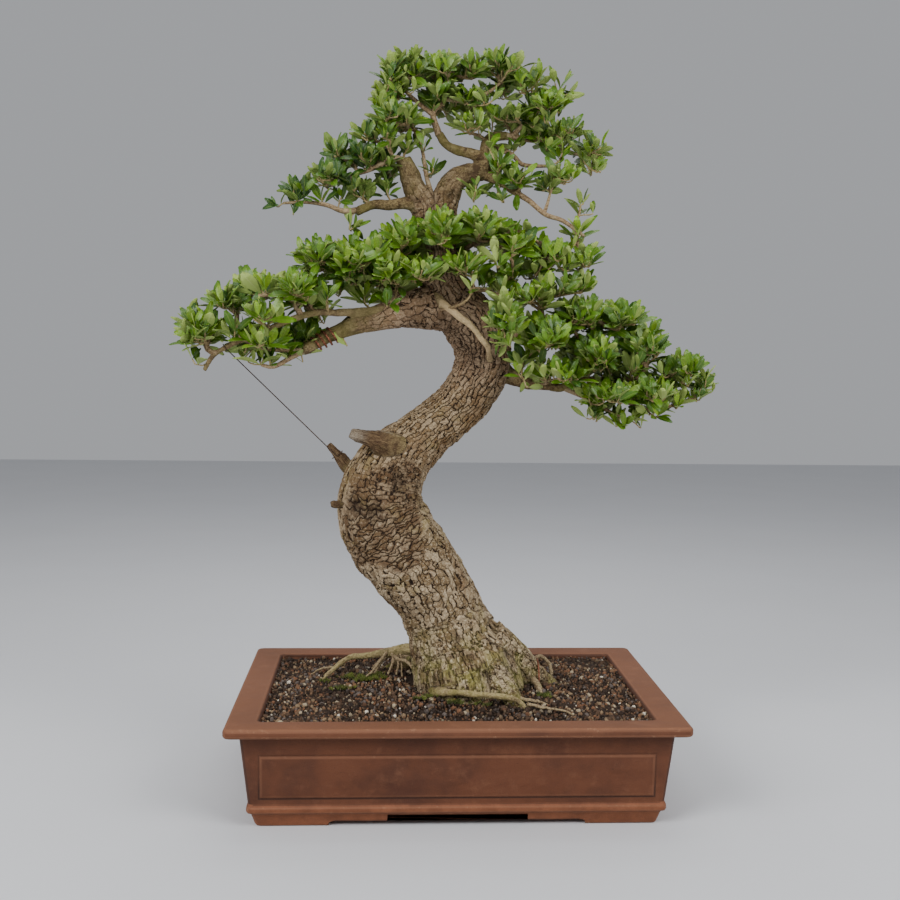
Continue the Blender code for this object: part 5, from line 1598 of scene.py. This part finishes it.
def makeGrain(chance):
    # a broken grain about as large as a ball of radius 1
    grain = bmesh.new()
    bmesh.ops.create_icosphere(grain, subdivisions=1, radius=1.0)
    shape = [chance.uniform(0.75, 1.2), chance.uniform(0.7, 1.05), chance.uniform(0.55, 0.9)]
    for point in grain.verts:
        swell = chance.uniform(0.8, 1.15)
        point.co = Vector(c * s * swell for c, s in zip(point.co, shape))
    mesh = bpy.data.meshes.new("grain")
    grain.to_mesh(mesh)
    grain.free()
    return mesh


def grainFinish():
    finish, graph, place = newFinish("soil grains")
    stops = [(0.0, (52, 40, 32)), (0.25, (84, 64, 49)), (0.48, (112, 86, 64)), (0.62, (96, 86, 80)),
             (0.76, (120, 84, 60)), (0.87, (136, 114, 88)), (0.95, (168, 152, 126)), (0.985, (206, 196, 178))]
    tone = graph.attribute("grainTone", "Fac")
    fine = graph.noise(place, 0.8, 3.0, 0.6)
    damp = graph.noise(graph.shift(place, (60, 0, 0)), 0.022, 3.0, 0.6)
    colour = graph.paint(
        graph.node("ShaderNodeValToRGB", {"stops": stops}, {"Fac": tone})["Color"],
        ((30, 24, 20), fine.rise(0.45, 0.7) * 0.45),
        ((38, 30, 25), damp.rise(0.5, 0.62) * 0.6))
    graph.surface(colour, 0.9, fine, 0.0006, specular=0.25)
    return finish


def soilFinish():
    finish, graph, place = newFinish("damp soil")
    fine = graph.noise(place, 0.35, 5.0, 0.7)
    colour = graph.mix((30, 23, 18), (66, 50, 38), fine.rise(0.35, 0.65))
    graph.surface(colour, 0.95, fine, 0.0015, specular=0.2)
    return finish


def screenFinish():
    finish, graph, place = newFinish("screen plastic")
    spots = graph.noise(place, 0.3, 3.0)
    graph.surface(graph.mix((34, 38, 36), (58, 62, 60), spots), 0.45, spots, 0.0001)
    return finish


def wear(finish, *nodes):
    # nodes of the frame keep their shape and get a finish
    for node in nodes:
        materials = bpy.data.objects[node].data.materials
        materials.clear()
        materials.append(finish)


def makeGround(tree):
    wear(soilFinish(), "soil")
    wear(screenFinish(), "drain_screen_left", "drain_screen_right")
    chance = random.Random(ground["seed"])
    grains = [makeGrain(chance) for _ in range(ground["kinds"])]
    mesh = newMesh("soilGrains", *openGround(tree, *ground["reach"], ground["lift"]))
    pattern = strewPattern("grains on the soil", grainFinish(), ground, marks="grainTone")
    piece = strew("soilGrains", mesh, pattern, grains, ground)
    settle(piece, "grit")
    print("grains:", len(piece.data.polygons) // 20)


makeGround(trunkTree)


# Fine roots and moss

fineRoots = [
    [(-76, 40, 146, 2.4), (-86, 34, 133, 1.9), (-93, 28, 125, 1.6), (-103, 24, 117, 1.2)],
    [(-71, 38, 146, 2.2), (-70, 30, 134, 1.7), (-76, 22, 120, 1.4)],
    [(-66, 36, 147, 2.2), (-63, 28, 134, 1.6), (-66, 20, 120, 1.3)],
    [(-80, 44, 146, 2), (-84, 50, 134, 1.6), (-96, 52, 120, 1.2)],
    [(-62, 34, 150, 1.6), (-60, 26, 137, 1.3), (-59, 16, 119, 1.1)],
    [(-68, 28, 142, 2), (-62, 20, 139, 2), (-52, 6, 139, 1.8), (-44, -10, 129, 1.5), (-41, -18, 118, 1.2)],
    [(-40, 30, 146, 3.4), (-48, 68, 132, 2.8), (-57, 86, 128, 2.4), (-74, 92, 126, 2.2),
     (-84, 70, 124, 2), (-92, 42, 117, 1.7)],
    [(94, 44, 118, 2.6), (107, 58, 129, 2.6), (116, 59, 133, 2.5), (125, 50, 126, 2.4),
     (127, 40, 114, 2.1)],
    [(84, 20, 140, 4.6), (91, 10, 132, 4.6), (95, -10, 126, 4.2), (101, -30, 120, 3.6),
     (103, -46, 114, 3.2), (105, -58, 105, 2.6)],
    [(92, 36, 138, 3.6), (103, 30, 132, 3.3), (113, 16, 125, 3), (119, 0, 115, 2.6), (122, -10, 105, 2)],
    [(80, -104, 119, 2.2), (98, -112, 117, 1.7), (118, -120, 116, 1.3), (132, -118, 109, 0.9)],
    [(60, -70, 128, 2.8), (74, -84, 120, 2.2), (96, -88, 117, 1.7), (112, -84, 109, 1.2)],
    [(-130, 50, 126, 2), (-142, 60, 120, 1.6), (-160, 62, 117, 1.2), (-174, 56, 109, 0.9)],
]
moss = {
    "patches": [  # x, y and how far it reaches along each
        (-100, 22, 24, 17), (-122, 38, 16, 11), (-86, 42, 14, 8), (-130, -16, 15, 9), (-152, 22, 11, 8),
        (-30, -76, 18, 7), (2, -96, 13, 9), (30, -102, 16, 5), (104, -64, 12, 8), (60, 96, 26, 14),
        (-20, 96, 20, 12),
    ],
    "ragged": (7.0, 0.75),  # how wide and how deep their rims are torn
    "reach": (200.0, 140.0),
    "lift": 1.6,
    "gap": 1.5,
    "sizes": (2.24, 4.8),
    "fewLarge": 1,
    "turns": ((-0.3, -0.3, 0.0), (0.3, 0.3, 6.28)),
    "crowding": 800000.0,
    "blades": 6,
    "kinds": 4,
    "scatter": 2,
    "seed": 8,
}


def rootFinish():
    finish, graph, place = newFinish("fine roots")
    fine = graph.noise(place, 0.6, 4.0, 0.65)
    patch = graph.noise(place, 0.05, 3.0)
    colour = graph.paint(
        (158, 140, 108),
        ((98, 78, 56), fine.rise(0.38, 0.66)),
        ((128, 122, 70), patch.rise(0.55, 0.72) * 0.5))
    graph.surface(colour, 0.8, fine, 0.0006, specular=0.3)
    return finish


def makeFineRoots(chance):
    lines = []
    for path in fineRoots:
        rows = smoothPath(path, 3.0)
        line = [place + jitter(chance, 0.5) for place in rows[:, :3]]
        lines.append((line, [radius * chance.uniform(0.88, 1.15) for radius in rows[:, 3]]))
    settle(makeStems("fineRoots", lines, rootFinish(), 9), "bark")
    print("fine roots:", len(lines))


def mossShare(x, y):
    # how thick the moss stands; below 0 there is none
    span, depth = moss["ragged"]
    torn = noise.noise(Vector((x / span, y / span, 3))) * depth
    return torn + max(1.0 - math.hypot((x - px) / rx, (y - py) / ry) for px, py, rx, ry in moss["patches"])


def makeTuft(chance):
    # a few pointed blades that lean outwards from one foot
    points, faces = [], []
    for k in range(moss["blades"]):
        turn = 2 * math.pi * k / moss["blades"] + chance.uniform(-0.4, 0.4)
        lean, tall = chance.uniform(0.25, 0.9), chance.uniform(0.7, 1.2)
        side = Vector((-math.sin(turn), math.cos(turn), 0)) * 0.16
        out = Vector((math.cos(turn), math.sin(turn), 0))
        a, b, c, d = range(4 * k, 4 * k + 4)
        points += [out * 0.1 - side, out * 0.1 + side, out * (0.1 + lean) * tall + Vector((0, 0, tall)),
                   out * 0.3 + Vector((0, 0, 0.5))]
        faces += [(a, b, d), (b, c, d), (c, a, d), (a, c, b)]
    mesh = bpy.data.meshes.new("tuft")
    mesh.from_pydata(points, [], faces)
    return mesh


def mossFinish():
    finish, graph, place = newFinish("moss")
    patch = graph.noise(place, 0.08, 3.0)
    fine = graph.noise(place, 0.7)
    colour = graph.paint(
        (52, 62, 26),
        ((100, 110, 46), patch.rise(0.35, 0.65)),
        ((140, 132, 78), fine.rise(0.52, 0.72) * 0.7))
    graph.surface(colour, 0.8, fine, 0.0003, specular=0.25)
    return finish


def makeMoss(tree, chance):
    tufts = [makeTuft(chance) for _ in range(moss["kinds"])]
    points, faces = openGround(tree, *moss["reach"], moss["lift"], lambda x, y: mossShare(x, y) > 0)
    mesh = newMesh("mossCushions", points, faces)
    giveValues(mesh, "mossShare", [max(0.0, mossShare(x, y)) for x, y, z in points])
    pattern = strewPattern("moss on the soil", mossFinish(), moss, share="mossShare")
    piece = strew("mossCushions", mesh, pattern, tufts, moss)
    settle(piece, "leaf")
    print("moss:", len(piece.data.polygons), "faces")


growing = random.Random(moss["seed"])
makeFineRoots(growing)
makeMoss(trunkTree, growing)
